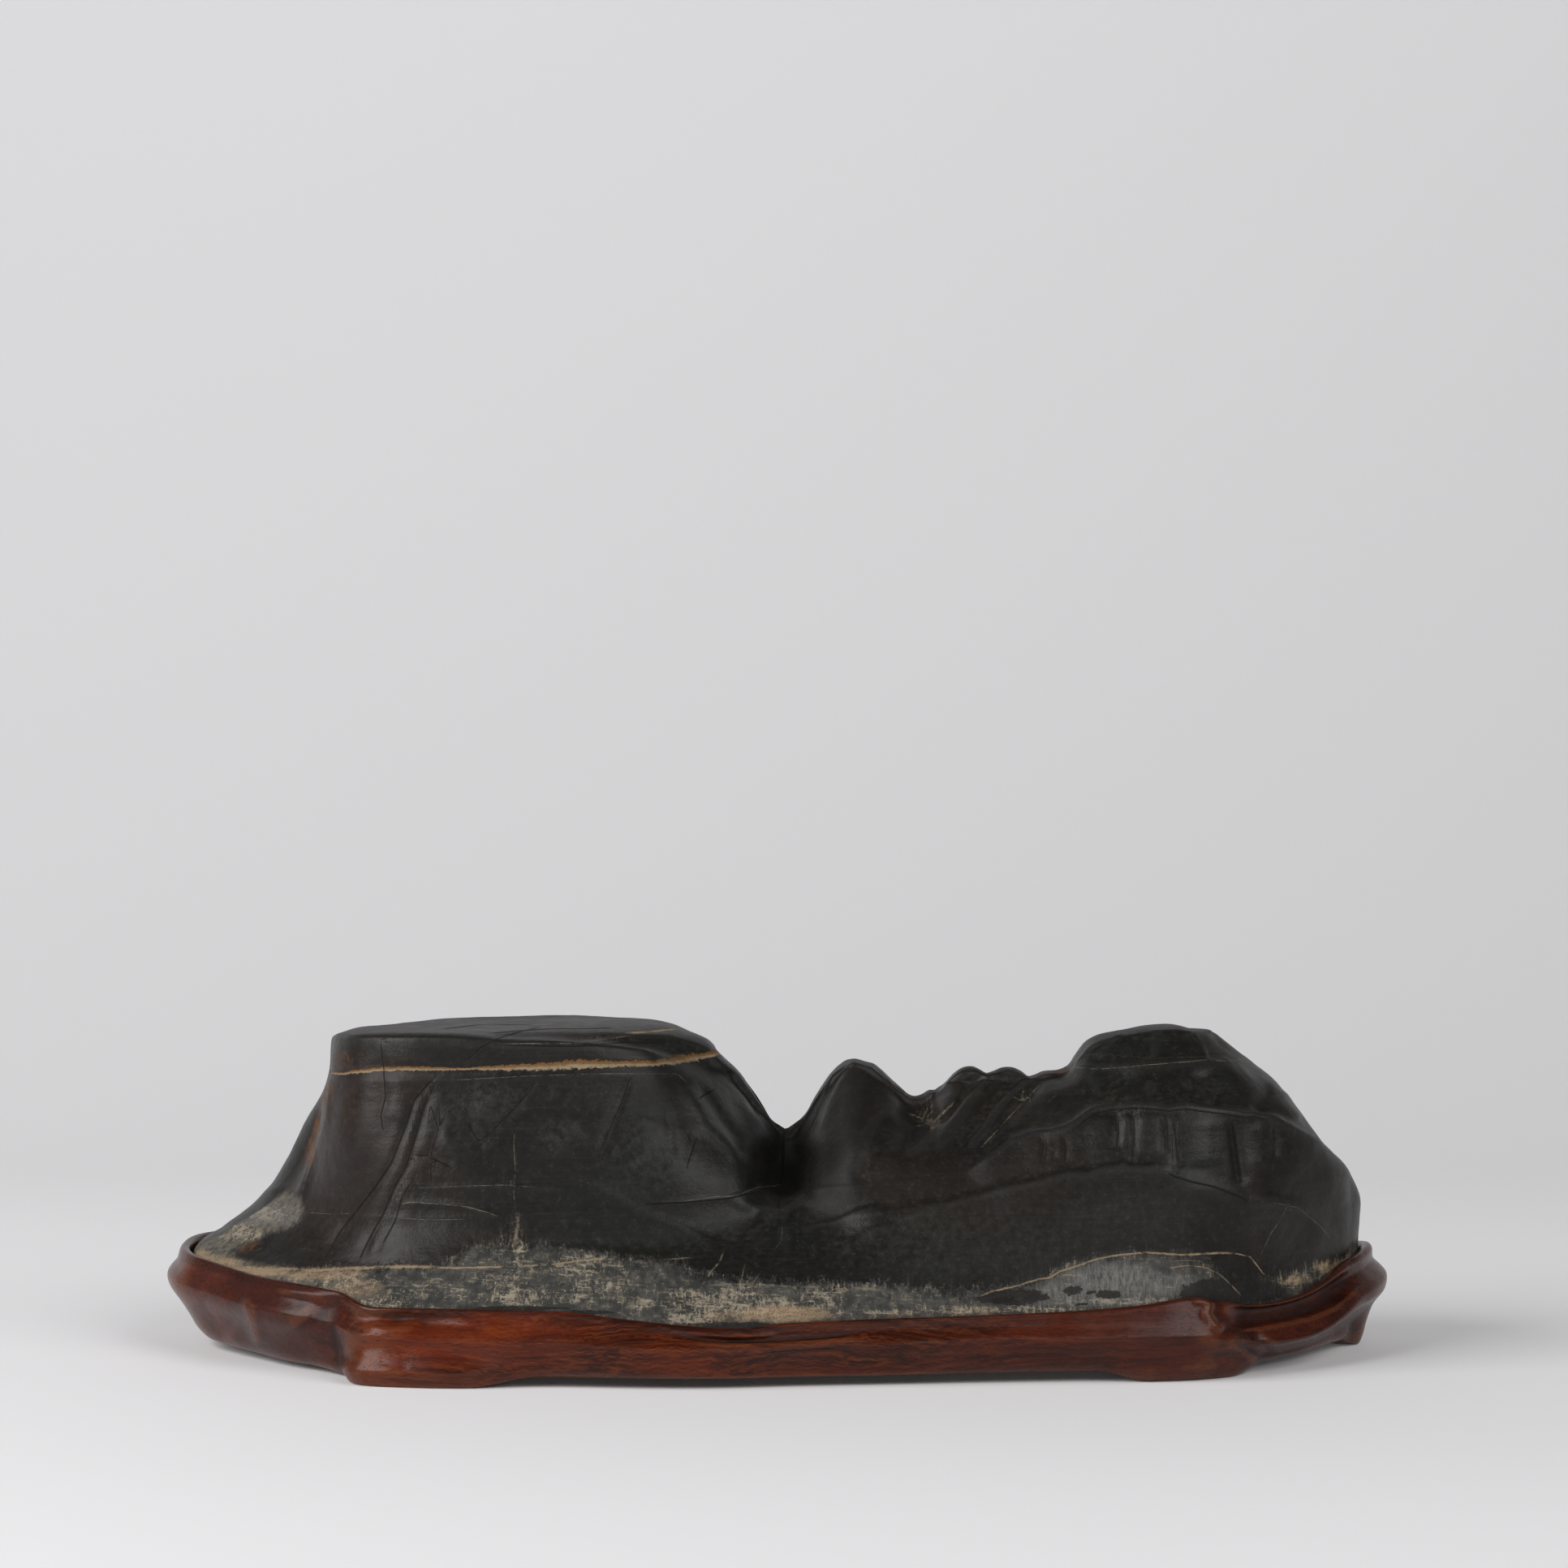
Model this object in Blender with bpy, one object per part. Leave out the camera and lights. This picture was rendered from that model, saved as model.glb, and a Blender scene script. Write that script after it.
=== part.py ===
"""A long viewing stone seated in its carved hardwood stand: two solids, in metres, +Z up.

The stone is one natural piece: a flat-topped mass on the left, a gorge, a small peak with a ridge behind
it, and a domed mass on the right, all rising from one sloping apron. The stand is one carved piece: a wall
that follows the stone's foot, a recess that the stone drops into, and six feet in line with the wall.

Both solids are skinned from rings that run round a straight spine. A place on a ring is given by its track,
the distance travelled round the spine: along the front, round the right end, back along the rear and round
the left end. Points are (x, y, z) in millimetres, with -Y towards the front.
"""

import math
from dataclasses import dataclass
from enum import Enum

import bmesh
import bpy
import numpy as np

MM = 0.001

# The spine, in plan, and the track length given to each half turn round one of its ends.
SPINE_LEFT = (-130.0, 14.0)
SPINE_RIGHT = (150.0, 4.0)
SPINE_RUN = SPINE_RIGHT[0] - SPINE_LEFT[0]
END_TURN = 190.0
TRACK = 2 * (SPINE_RUN + END_TURN)

# How finely the rings are cut: columns along one side of the spine, closer at the gorge, and round one end.
SIDE_X = [*range(-130, -50, 9), *range(-49, 109, 4), *range(110, 150, 6)]
END_COLUMNS = 16

# Heights of the seat.
FOOT_CLEARANCE = 5.6
RECESS_FLOOR = 11.0
SEAT_GAP = 0.3
WALL_GAP = 0.8

# The line where the stone comes out of the stand, from the left tip round the front.
TOE = [
    (-222, 30, 34.5), (-217, 5, 34), (-205, -12, 33), (-191, -28, 31.5), (-174, -45, 31), (-156, -58, 30),
    (-142, -70, 26.5), (-116, -74, 26.5), (-79, -78, 26.5), (-58, -80, 24.2), (-33, -81, 21.6),
    (-14, -80, 20.6), (0, -78, 22), (31, -75, 23), (66, -72, 24), (100, -69, 25.2), (124, -67, 27),
    (143, -64, 29.4), (152, -60, 27.4), (162, -53, 25.2), (183, -34, 25.5), (195, -19, 29.3),
    (202, -8, 32.5), (210, 5, 34.4), (215, 20, 36), (214, 36, 35), (203, 52, 33), (180, 61, 31),
    (140, 65, 30), (90, 67, 29), (40, 71, 29), (-10, 77, 30), (-60, 83, 31), (-120, 87, 32), (-172, 82, 34),
    (-206, 66, 36), (-220, 48, 35.5),
]
# The middle of the apron.
APRON = [
    (-211, 29, 43), (-203, 4, 43), (-188, -16, 41), (-172, -33, 40), (-152, -48, 40), (-125, -63, 38),
    (-95, -69, 37), (-60, -71, 36), (-25, -70, 34), (0, -67, 35), (30, -65, 36), (70, -63, 38),
    (110, -61, 42), (140, -59, 45), (160, -51, 43), (180, -35, 43), (197, -15, 47), (209, 4, 51),
    (215, 20, 52), (212, 38, 50), (199, 52, 48), (170, 58, 45), (120, 60, 44), (60, 62, 42), (0, 67, 42),
    (-60, 75, 43), (-120, 79, 45), (-172, 75, 48), (-200, 62, 49), (-211, 46, 46),
]
# The foot of the steep faces. It comes up to the lip of the gorge at the middle of the front.
CLIFF_FOOT = [
    (-197, 30, 56), (-188, 8, 56), (-173, -14, 56), (-160, -31, 55), (-140, -49, 54), (-110, -56, 51),
    (-70, -58, 49), (-36, -56, 48), (-15, -50, 50), (-2, -44, 55.5), (12, -48, 52), (35, -54, 50),
    (70, -56, 54), (105, -56, 62), (140, -56, 66), (165, -48, 63), (187, -30, 63), (203, -9, 64),
    (214, 12, 64), (215, 28, 62), (204, 44, 60), (170, 52, 58), (120, 54, 57), (60, 54, 54), (5, 52, 50),
    (-40, 62, 54), (-90, 70, 59), (-130, 73, 61), (-166, 68, 61), (-189, 53, 58),
]
# Half way up the steep faces, and along the floor of the gorge.
FACE = [
    (-181, 31, 81), (-173, 7, 81), (-166, -18, 80), (-152, -38, 80), (-120, -48, 80), (-80, -50, 78),
    (-42, -48, 76), (-18, -38, 73), (-6, -26, 66), (0, -16, 63), (6, -27, 66), (14, -34, 71), (26, -38, 77),
    (45, -38, 75), (70, -38, 77), (100, -43, 83), (140, -49, 88), (165, -42, 86), (187, -23, 84),
    (199, -3, 80), (206, 14, 77), (204, 30, 75), (190, 41, 74), (160, 45, 76), (120, 43, 78), (80, 38, 78),
    (45, 35, 76), (22, 36, 74), (1, 36, 63), (-18, 40, 75), (-45, 53, 84), (-90, 63, 89), (-130, 65, 90),
    (-160, 60, 88), (-175, 47, 85),
]
# The brow, under the top layer of each mass.
BROW = [
    (-171, 28, 99), (-168, 8, 101), (-165, -13, 103), (-153, -31, 104), (-120, -42, 105), (-80, -43, 106),
    (-50, -37, 105), (-32, -22, 101), (-14, -6, 88), (-5, 0, 78), (1, 3, 73), (7, 0, 77), (15, -6, 90),
    (26, -11, 98), (38, -10, 92), (48, -8, 86), (62, -10, 95), (90, -14, 95), (115, -26, 102),
    (140, -33, 106), (160, -29, 105), (172, -17, 102), (178, 0, 99), (179, 14, 97), (170, 27, 97),
    (150, 31, 100), (115, 27, 98), (85, 21, 94), (48, 22, 86), (27, 22, 96), (12, 22, 84), (1, 22, 74),
    (-14, 26, 86), (-36, 40, 103), (-75, 55, 109), (-120, 58, 110), (-150, 54, 108), (-166, 43, 104),
]
# The edge of each top.
EDGE = [
    (-165, 26, 114.5), (-163, 8, 116), (-159, -10, 116.5), (-148, -25, 117), (-118, -34, 118),
    (-80, -34, 118), (-53, -26, 115), (-38, -11, 111), (-18, 3, 97), (-6, 7, 85), (1, 8.5, 78.5),
    (8, 6, 85), (16, 1, 97), (26, -3, 104.5), (36, -2, 99), (48, 0, 90.5), (62, 0, 98.5), (88, -2, 100),
    (100, -4, 101), (113, -11, 111), (140, -17, 117.5), (154, -12, 117), (160, -3, 115), (162, 8, 114),
    (158, 17, 114), (147, 21, 115), (116, 17, 112), (100, 14, 101), (88, 13, 100), (62, 13, 98.5),
    (48, 13, 90.5), (27, 14, 104), (14, 15, 93), (1, 14, 79), (-16, 19, 95), (-43, 35, 115),
    (-80, 50, 120.4), (-120, 52, 120.4), (-146, 48, 119), (-159, 38, 116),
]
# The height of the spine's own line, as (x, z): flat top, gorge, peak, ridge and dome.
CREST = [
    (-130, 120.4), (-60, 120.6), (-46, 119.4), (-36, 116.4), (-29, 112.8), (-22, 106.6), (-13, 95.8),
    (-5, 84.4), (0.5, 81), (7, 86), (13, 94.6), (20, 103.8), (27, 106.8), (34, 103.8), (42, 96.6),
    (49, 93.4), (57, 95.8), (63, 102), (70, 104.4), (75, 103), (83, 104.4), (91, 101.6), (96, 102.2),
    (106, 104.4), (110, 110), (118, 116), (130, 118.4), (141, 119.8), (150, 118.8),
]


# The eye that the relief is drawn from. A place in its view is (x, z) in the upright plane y = 0, where the
# line from the eye to a point crosses that plane.
EYE = (0.0, -1348.0, 209.4)


class Form(Enum):
    """How a stroke of relief stands to the line it is drawn on."""

    ROUND = "as much on one side as on the other"
    LEDGE = "steep on the upper side, fading slowly below"


@dataclass(frozen=True)
class Stroke:
    """A line of relief: its form, its width, its height and its path in the eye's view."""

    form: Form
    width: float
    height: float
    path: tuple


FRONT_RELIEF = [
    # The corner between the left mass's front and its left end, and the creases beside it.
    Stroke(Form.ROUND, 6.5, 1.6, ((-166, 104), (-170, 94), (-175, 76), (-179, 62), (-184, 54), (-193, 45))),
    Stroke(Form.ROUND, 4, -1.6, ((-132, 100), (-138, 82), (-146, 67), (-154, 54), (-162, 41), (-167, 34))),
    # The layer under the left mass's top, and the buttresses that turn into the gorge.
    Stroke(Form.LEDGE, 12, 1.2, ((-170, 103), (-123, 105), (-76, 106), (-37, 108), (-20, 109))),
    Stroke(Form.ROUND, 4, 1.6, ((-29, 112), (-22, 100), (-17, 88), (-15, 76), (-14, 64))),
    Stroke(Form.ROUND, 4, -2.2, ((-38, 106), (-31, 94), (-25, 82), (-20, 67), (-16, 57))),
    # The fold of the apron below the left mass, round to the lip of the gorge.
    Stroke(Form.LEDGE, 12, 1.5, ((-69, 62), (-58, 54), (-41, 47), (-26, 42), (-12, 40), (-2, 46))),
    # The peak's groove on its left, and the gully down its right.
    Stroke(Form.ROUND, 2.5, -2.0, ((23, 106), (18, 101), (15, 95), (11, 86), (9, 80), (6, 67))),
    Stroke(Form.ROUND, 4, -2.0, ((45, 96), (34, 85), (31, 78), (27, 71), (25, 61), (22, 54))),
    Stroke(Form.ROUND, 5, 2.2, ((28, 106), (25, 94), (19, 79), (14, 64), (9, 52))),
    # The gullies and ribs of the ridge.
    Stroke(Form.ROUND, 3.5, -1.8, ((57, 97), (54, 85), (45, 72), (43, 64), (37, 57))),
    Stroke(Form.ROUND, 3.5, -1.8, ((75, 104), (64, 94), (56, 85), (49, 76), (44, 67))),
    Stroke(Form.ROUND, 3.5, 1.4, ((69, 105), (60, 96), (52, 88), (41, 78), (34, 67), (30, 58))),
    Stroke(Form.ROUND, 3.5, 1.4, ((82, 104), (72, 94), (64, 84), (53, 74), (47, 64), (43, 57))),
    Stroke(Form.ROUND, 2.5, -1.6, ((89, 102), (80, 95), (74, 86), (66, 77), (60, 70))),
    Stroke(Form.ROUND, 3, -1.8, ((96, 103), (91, 95), (82, 86), (76, 80), (70, 72), (64, 63))),
    # The dome: the edge of its cap, its upper fold, the flutes below that, and its lower fold.
    Stroke(Form.LEDGE, 9, 1.2, ((105, 105), (126, 106), (146, 107), (172, 108))),
    Stroke(Form.LEDGE, 13, 4.0, ((67, 67), (83, 77), (94, 79), (105, 82), (118, 89), (128, 90), (141, 89),
                            (152, 90), (163, 88), (178, 86), (190, 80), (202, 69))),
    Stroke(Form.ROUND, 2.5, -1.8, ((128, 91), (128, 79), (127, 64))),
    Stroke(Form.ROUND, 2.5, -2.0, ((142, 91), (144, 79), (146, 63))),
    Stroke(Form.ROUND, 2.5, -2.0, ((165, 90), (166, 76), (168, 59))),
    Stroke(Form.ROUND, 2.5, -1.5, ((180, 88), (182, 76), (183, 55))),
    Stroke(Form.LEDGE, 15, 2.6, ((10, 47), (23, 49), (47, 54), (64, 56), (85, 60), (100, 64), (120, 66),
                            (136, 65), (157, 63), (180, 56), (197, 49))),
    Stroke(Form.ROUND, 3.5, -1.6, ((182, 99), (177, 92), (175, 85))),
]
REAR_RELIEF = [
    Stroke(Form.LEDGE, 12, 1.6, ((-171, 104), (-122, 106), (-74, 107), (-26, 108))),
    Stroke(Form.LEDGE, 18, 3.0, ((-200, 55), (-164, 61), (-122, 57), (-80, 60), (-41, 55), (-11, 58))),
    Stroke(Form.ROUND, 4, -2.6, ((-122, 109), (-114, 94), (-117, 76), (-110, 58))),
    Stroke(Form.ROUND, 3.5, -2.2, ((-68, 109), (-71, 94), (-64, 79), (-66, 64))),
    Stroke(Form.ROUND, 5, 2.4, ((-98, 106), (-93, 88), (-98, 70), (-92, 55))),
    Stroke(Form.ROUND, 4, -3.0, ((45, 96), (49, 82), (46, 70), (51, 58))),
    Stroke(Form.ROUND, 3.5, -2.8, ((75, 104), (78, 91), (77, 76), (81, 64))),
    Stroke(Form.ROUND, 3.5, -2.4, ((91, 102), (95, 91), (94, 76), (99, 64))),
    Stroke(Form.LEDGE, 15, 3.2, ((13, 58), (46, 67), (82, 73), (121, 82), (154, 80), (190, 73))),
    Stroke(Form.ROUND, 3, -2.0, ((133, 81), (131, 67), (134, 52))),
    Stroke(Form.ROUND, 3, -2.0, ((163, 79), (165, 67), (162, 51))),
]
# How far above the seat the relief comes in, and how far from the spine it fades from one side to the other.
RELIEF_RISE = 9.0
RELIEF_FADE = 5.0
# A ledge's upper side against its lower, and the share of a stroke that fades out at each end.
LEDGE_STEEPNESS = 0.22
STROKE_TAPER = 0.2


@dataclass(frozen=True)
class Wall:
    """The stand's wall at one place: offsets are outwards from the toe line, drops are below its rim."""

    x: float
    y: float
    bead_out: float
    bead_drop: float
    groove: float
    skirt_out: float


# The wall's section round the stand, from the left tip round the front.
WALLS = [
    Wall(-222, 30, 9.0, 8.0, 0.4, -1.0),
    Wall(-205, -12, 9.0, 8.5, 0.5, -2.0),
    Wall(-174, -45, 9.5, 9.0, 0.6, 0.0),
    Wall(-156, -58, 7.0, 10.0, 0.6, 1.5),
    Wall(-142, -70, 9.0, 9.5, 1.0, 4.5),
    Wall(-116, -74, 10.0, 10.0, 0.6, 6.0),
    Wall(-79, -78, 9.0, 9.0, 0.2, 6.5),
    Wall(-33, -81, 9.0, 8.0, 0.5, 7.0),
    Wall(0, -78, 8.5, 8.0, 1.0, 5.0),
    Wall(66, -72, 8.0, 8.0, 0.4, 4.0),
    Wall(124, -67, 9.0, 11.0, 0.1, 5.0),
    Wall(145, -63, 9.5, 13.0, 0.0, 5.0),
    Wall(158, -56, 7.5, 10.0, 0.8, 1.0),
    Wall(183, -34, 9.5, 9.0, 1.4, -1.0),
    Wall(210, 5, 9.5, 9.0, 1.2, -1.0),
    Wall(214, 36, 9.0, 9.0, 0.8, 0.0),
    Wall(140, 65, 9.0, 9.0, 0.4, 3.0),
    Wall(0, 76, 9.0, 9.0, 0.6, 4.0),
    Wall(-120, 87, 9.0, 9.0, 0.4, 3.0),
    Wall(-206, 66, 9.0, 9.0, 0.4, 1.0),
]

# The feet, each by its middle on the toe line. Half of a foot is flat, and then it turns up into the skirt.
FEET = [(-119, -74), (140, -65), (214, 26), (96, 67), (-74, 84), (-214, 60)]
FOOT_HALF = 16.0
FOOT_TURN_UP = 13.0
FOOT_SWELL = 2.2
FOOT_REACH = 12.0

STONE_COLOUR = (0.022, 0.019, 0.017, 1.0)
WOOD_COLOUR = (0.075, 0.022, 0.010, 1.0)


def spine_y(x):
    """The spine's y at x."""
    share = (x - SPINE_LEFT[0]) / SPINE_RUN
    return SPINE_LEFT[1] + share * (SPINE_RIGHT[1] - SPINE_LEFT[1])


def track_of(x, y):
    """The track of a point in plan, and its distance from the spine."""
    if SPINE_LEFT[0] <= x <= SPINE_RIGHT[0]:
        along = x - SPINE_LEFT[0]
        reach = y - spine_y(x)
        return (along if reach < 0 else 2 * SPINE_RUN + END_TURN - along), abs(reach)
    pivot, start, facing = SPINE_RIGHT, SPINE_RUN, -0.5 * math.pi
    if x < SPINE_LEFT[0]:
        pivot, start, facing = SPINE_LEFT, 2 * SPINE_RUN + END_TURN, 0.5 * math.pi
    turned = (math.atan2(y - pivot[1], x - pivot[0]) - facing) % (2 * math.pi)
    return start + turned / math.pi * END_TURN, math.hypot(x - pivot[0], y - pivot[1])


def rays_at(track):
    """For an array of tracks, the spine point each ray starts from and its direction, both (n, 2)."""
    track = np.asarray(track, float) % TRACK
    turns = [0, SPINE_RUN, SPINE_RUN + END_TURN, 2 * SPINE_RUN + END_TURN, TRACK]
    along = np.interp(track, turns, [0, SPINE_RUN, SPINE_RUN, 0, 0])
    angle = np.interp(track, turns, [-90, -90, 90, 90, 270])
    x = SPINE_LEFT[0] + along
    angle = np.radians(angle)
    return np.stack([x, spine_y(x)], 1), np.stack([np.cos(angle), np.sin(angle)], 1)


def smooth(knots, values, at):
    """Akima's curve through values at knots, along their first axis. It keeps corners without overshoot."""
    knots, values = np.asarray(knots, float), np.asarray(values, float)
    flat = values.reshape(len(knots), -1)
    slope = np.diff(flat, axis=0) / np.diff(knots)[:, None]
    first = [3 * slope[0] - 2 * slope[1], 2 * slope[0] - slope[1]]
    last = [2 * slope[-1] - slope[-2], 3 * slope[-1] - 2 * slope[-2]]
    slope = np.vstack([first, slope, last])
    turn = np.abs(np.diff(slope, axis=0)) + 0.5 * np.abs(slope[1:] + slope[:-1])
    before, after = turn[2:], turn[:-2]
    tangent = (before * slope[1:-2] + after * slope[2:-1]) / np.maximum(before + after, 1e-12)
    at = np.asarray(at, float)
    span = np.clip(np.searchsorted(knots, at, side="right") - 1, 0, len(knots) - 2)
    width = (knots[span + 1] - knots[span])[:, None]
    t = (at - knots[span])[:, None] / width
    start, end = flat[span], flat[span + 1]
    curve = (
        (2 * t**3 - 3 * t**2 + 1) * start
        + (t**3 - 2 * t**2 + t) * width * tangent[span]
        + (3 * t**2 - 2 * t**3) * end
        + (t**3 - t**2) * width * tangent[span + 1]
    )
    return curve.reshape((len(at),) + values.shape[1:])


def smooth_round(tracks, values, at):
    """smooth() for values that repeat once round the track."""
    order = np.argsort(tracks)
    tracks, values = np.asarray(tracks, float)[order], np.asarray(values, float)[order]
    knots = np.concatenate([tracks - TRACK, tracks, tracks + TRACK])
    return smooth(knots, np.concatenate([values, values, values]), np.asarray(at) % TRACK)


def contour(points, tracks):
    """(distance from the spine, height) of a contour line at each track."""
    placed = [(*track_of(x, y), z) for x, y, z in points]
    return smooth_round([p[0] for p in placed], [p[1:] for p in placed], tracks)


def columns():
    """The tracks of the rings' columns. The front's and the rear's face each other across the spine."""
    side = np.array(SIDE_X) - SPINE_LEFT[0]
    end = SPINE_RUN + np.linspace(0, END_TURN, END_COLUMNS, endpoint=False)
    rear = (2 * SPINE_RUN + END_TURN - side[1:])[::-1]
    start = [SPINE_RUN + END_TURN]
    return np.concatenate([side, end, start, rear, SPINE_RUN + END_TURN + end])


def ring_points(tracks, reach, height):
    """The (n, 3) points at those distances from the spine and those heights."""
    start, direction = rays_at(tracks)
    return np.column_stack([start + direction * np.asarray(reach)[:, None], height])


def in_view(points):
    """The (x, z) places of points in the eye's view."""
    away = points - np.array(EYE)
    scale = abs(EYE[1]) / away[..., 1]
    return np.stack([scale * away[..., 0], EYE[2] + scale * away[..., 2]], -1)


def ease(share):
    """A soft step from 0 to 1."""
    share = np.clip(share, 0, 1)
    return share * share * (3 - 2 * share)


def stroke_height(stroke, places):
    """How far the stroke raises the surface at each place in the view, in millimetres."""
    path = np.array(stroke.path, float)
    lengths = np.linalg.norm(np.diff(path, axis=0), axis=1)
    travelled = np.concatenate([[0], np.cumsum(lengths)])
    nearest = np.full(places.shape[:-1], np.inf)
    side, along = np.zeros_like(nearest), np.zeros_like(nearest)
    for start, end, length, before in zip(path, path[1:], lengths, travelled):
        direction = (end - start) / length
        offset = places - start
        run = np.clip(offset @ direction, 0, length)
        gap = np.linalg.norm(offset - run[..., None] * direction, axis=-1)
        closer = gap < nearest
        turned = direction[1] * offset[..., 0] - direction[0] * offset[..., 1]
        nearest = np.where(closer, gap, nearest)
        side = np.where(closer, np.sign(turned), side)
        along = np.where(closer, before + run, along)
    shape = np.exp(-((nearest / stroke.width) ** 2))
    if stroke.form is Form.LEDGE:
        above = np.exp(-((nearest / (LEDGE_STEEPNESS * stroke.width)) ** 2))
        shape = np.where(side > 0, np.exp(-nearest / stroke.width), above)
    taper = STROKE_TAPER * travelled[-1]
    return stroke.height * shape * ease(along / taper) * ease((travelled[-1] - along) / taper)


def relief_height(strokes, places):
    """All the strokes together: ledges add up, and of ribs, or of gullies, the strongest counts."""
    heights = [(stroke, stroke_height(stroke, places)) for stroke in strokes]
    ledges = sum(height for stroke, height in heights if stroke.form is Form.LEDGE)
    round_ones = [height for stroke, height in heights if stroke.form is Form.ROUND]
    ribs = np.max([np.maximum(height, 0) for height in round_ones], axis=0)
    gullies = np.min([np.minimum(height, 0) for height in round_ones], axis=0)
    return ledges + ribs + gullies


def surface_normals(grid):
    """The outward normals of a grid of points: rings going up, each running anticlockwise."""
    round_the_ring = np.roll(grid, -1, axis=1) - np.roll(grid, 1, axis=1)
    up = np.gradient(grid, axis=0)
    normal = np.cross(round_the_ring, up)
    return normal / np.maximum(np.linalg.norm(normal, axis=-1, keepdims=True), 1e-9)


def relieved(grid, tracks, seat_line):
    """The grid with its relief: the front's strokes on one side of the spine and the rear's on the other."""
    spine = rays_at(tracks)[0]
    across = grid[..., 1] - spine[None, :, 1]
    places = in_view(grid)
    front, rear = relief_height(FRONT_RELIEF, places), relief_height(REAR_RELIEF, places)
    facing = ease(0.5 - across / (2 * RELIEF_FADE))
    height = (front * facing + rear * (1 - facing)) * ease((grid[..., 2] - seat_line) / RELIEF_RISE)
    height[-1] = 0
    return grid + surface_normals(grid) * height[..., None]


def stone_rings(tracks):
    """The stone's rings, from its hidden bottom edge up to the line of the spine."""
    toe = contour(TOE, tracks)
    seat = RECESS_FLOOR + SEAT_GAP
    bottom = np.column_stack([toe[:, 0] - 4.0, np.full(len(tracks), seat)])
    shoulder = np.column_stack([toe[:, 0] - 0.6, np.full(len(tracks), seat + 4.0)])
    spine_x = rays_at(tracks)[0][:, 0]
    crest = np.column_stack([np.zeros(len(tracks)), smooth(*zip(*CREST), spine_x)])
    levels = [shoulder, toe] + [contour(c, tracks) for c in (APRON, CLIFF_FOOT, FACE, BROW, EDGE)]
    top = levels[-1] * (0.78, 0.25) + crest * (0, 0.75)
    levels += [top, crest, top * (-1, 1)]
    knots = [0, 1, 2, 3, 4.6, 6, 6.7, 7.2, 8, 8.8]
    rows = np.concatenate([[0], np.linspace(1, 6.5, 13), [6.85, 7.2, 7.6, 8]])
    profile = smooth(knots, np.stack(levels), rows)
    grid = np.stack([ring_points(tracks, row[:, 0], row[:, 1]) for row in profile])
    return [ring_points(tracks, bottom[:, 0], bottom[:, 1]), *relieved(grid, tracks, toe[:, 1])]


def outward(line):
    """The unit normals, in plan, of a closed line that runs anticlockwise."""
    along = np.roll(line, -1, axis=0) - np.roll(line, 1, axis=0)
    normal = np.column_stack([along[:, 1], -along[:, 0]])
    return normal / np.linalg.norm(normal, axis=1)[:, None]


def foot_share(tracks):
    """1 where a foot stands on the table, 0 between feet, with a soft turn between."""
    share = np.zeros(len(tracks))
    for x, y in FEET:
        away = np.abs((tracks - track_of(x, y)[0] + 0.5 * TRACK) % TRACK - 0.5 * TRACK)
        share = np.maximum(share, ease((FOOT_HALF + FOOT_TURN_UP - away) / FOOT_TURN_UP))
    return share


def stand_rings(tracks):
    """The stand's rings, from its underside, up the wall and over the rim to the recess floor."""
    toe = contour(TOE, tracks)
    line = ring_points(tracks, toe[:, 0], toe[:, 1])
    normal = outward(line[:, :2])
    rim = toe[:, 1]
    wall = smooth_round(
        [track_of(w.x, w.y)[0] for w in WALLS],
        [(w.bead_out, w.bead_drop, w.groove, w.skirt_out) for w in WALLS],
        tracks,
    )
    bead, drop, groove, skirt = wall.T
    foot = foot_share(tracks)
    base = FOOT_CLEARANCE * (1 - foot)
    swell = FOOT_SWELL * foot
    bead_height = rim - drop
    rise = bead_height - base
    recess = np.full(len(tracks), RECESS_FLOOR)
    underside = np.full(len(tracks), FOOT_CLEARANCE)
    section = [
        (skirt - FOOT_REACH - 8.0, underside),
        (skirt - FOOT_REACH, underside),
        (skirt - FOOT_REACH + 0.6, base),
        (skirt + swell - 1.2, base),
        (skirt + swell, base + 0.1 * rise),
        (skirt + 1.3 * swell + 0.3, base + 0.28 * rise),
        (0.6 * skirt + 0.4 * bead + 0.5 * swell, base + 0.55 * rise),
        (bead - 0.5, base + 0.82 * rise),
        (bead, bead_height),
        (bead - 1.2 - 0.4 * groove, bead_height + 2.2),
        (0.62 * bead - groove, rim - 0.42 * drop),
        (0.45 * bead, rim - 0.8),
        (0.25 * bead + 0.9, rim + 0.3),
        (np.full(len(tracks), WALL_GAP), rim - 0.5),
        (np.full(len(tracks), WALL_GAP), recess),
    ]
    return [np.column_stack([line[:, :2] + normal * out[:, None], height]) for out, height in section]


def skin(name, rings, shift, colour, roughness):
    """One closed object from rings of points: quads between neighbours, and a flat cap on each open end."""
    bm = bmesh.new()
    rows = [[bm.verts.new((point - shift) * MM) for point in ring] for ring in rings]
    count = len(rows[0])
    for lower, upper in zip(rows, rows[1:]):
        for i in range(count):
            j = (i + 1) % count
            bm.faces.new((lower[i], lower[j], upper[j], upper[i]))
    bm.faces.new(reversed(rows[0]))
    if np.ptp(rings[-1][:, 2]) < 1e-6:
        bm.faces.new(rows[-1])
    bmesh.ops.remove_doubles(bm, verts=bm.verts, dist=0.01 * MM)
    bmesh.ops.triangulate(bm, faces=bm.faces)
    bmesh.ops.recalc_face_normals(bm, faces=bm.faces)
    mesh = bpy.data.meshes.new(name)
    bm.to_mesh(mesh)
    bm.free()
    mesh.shade_smooth()
    mesh.set_sharp_from_angle(angle=math.radians(45))
    mesh.materials.append(material(name, colour, roughness))
    obj = bpy.data.objects.new(name, mesh)
    bpy.context.scene.collection.objects.link(obj)
    return obj


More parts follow.
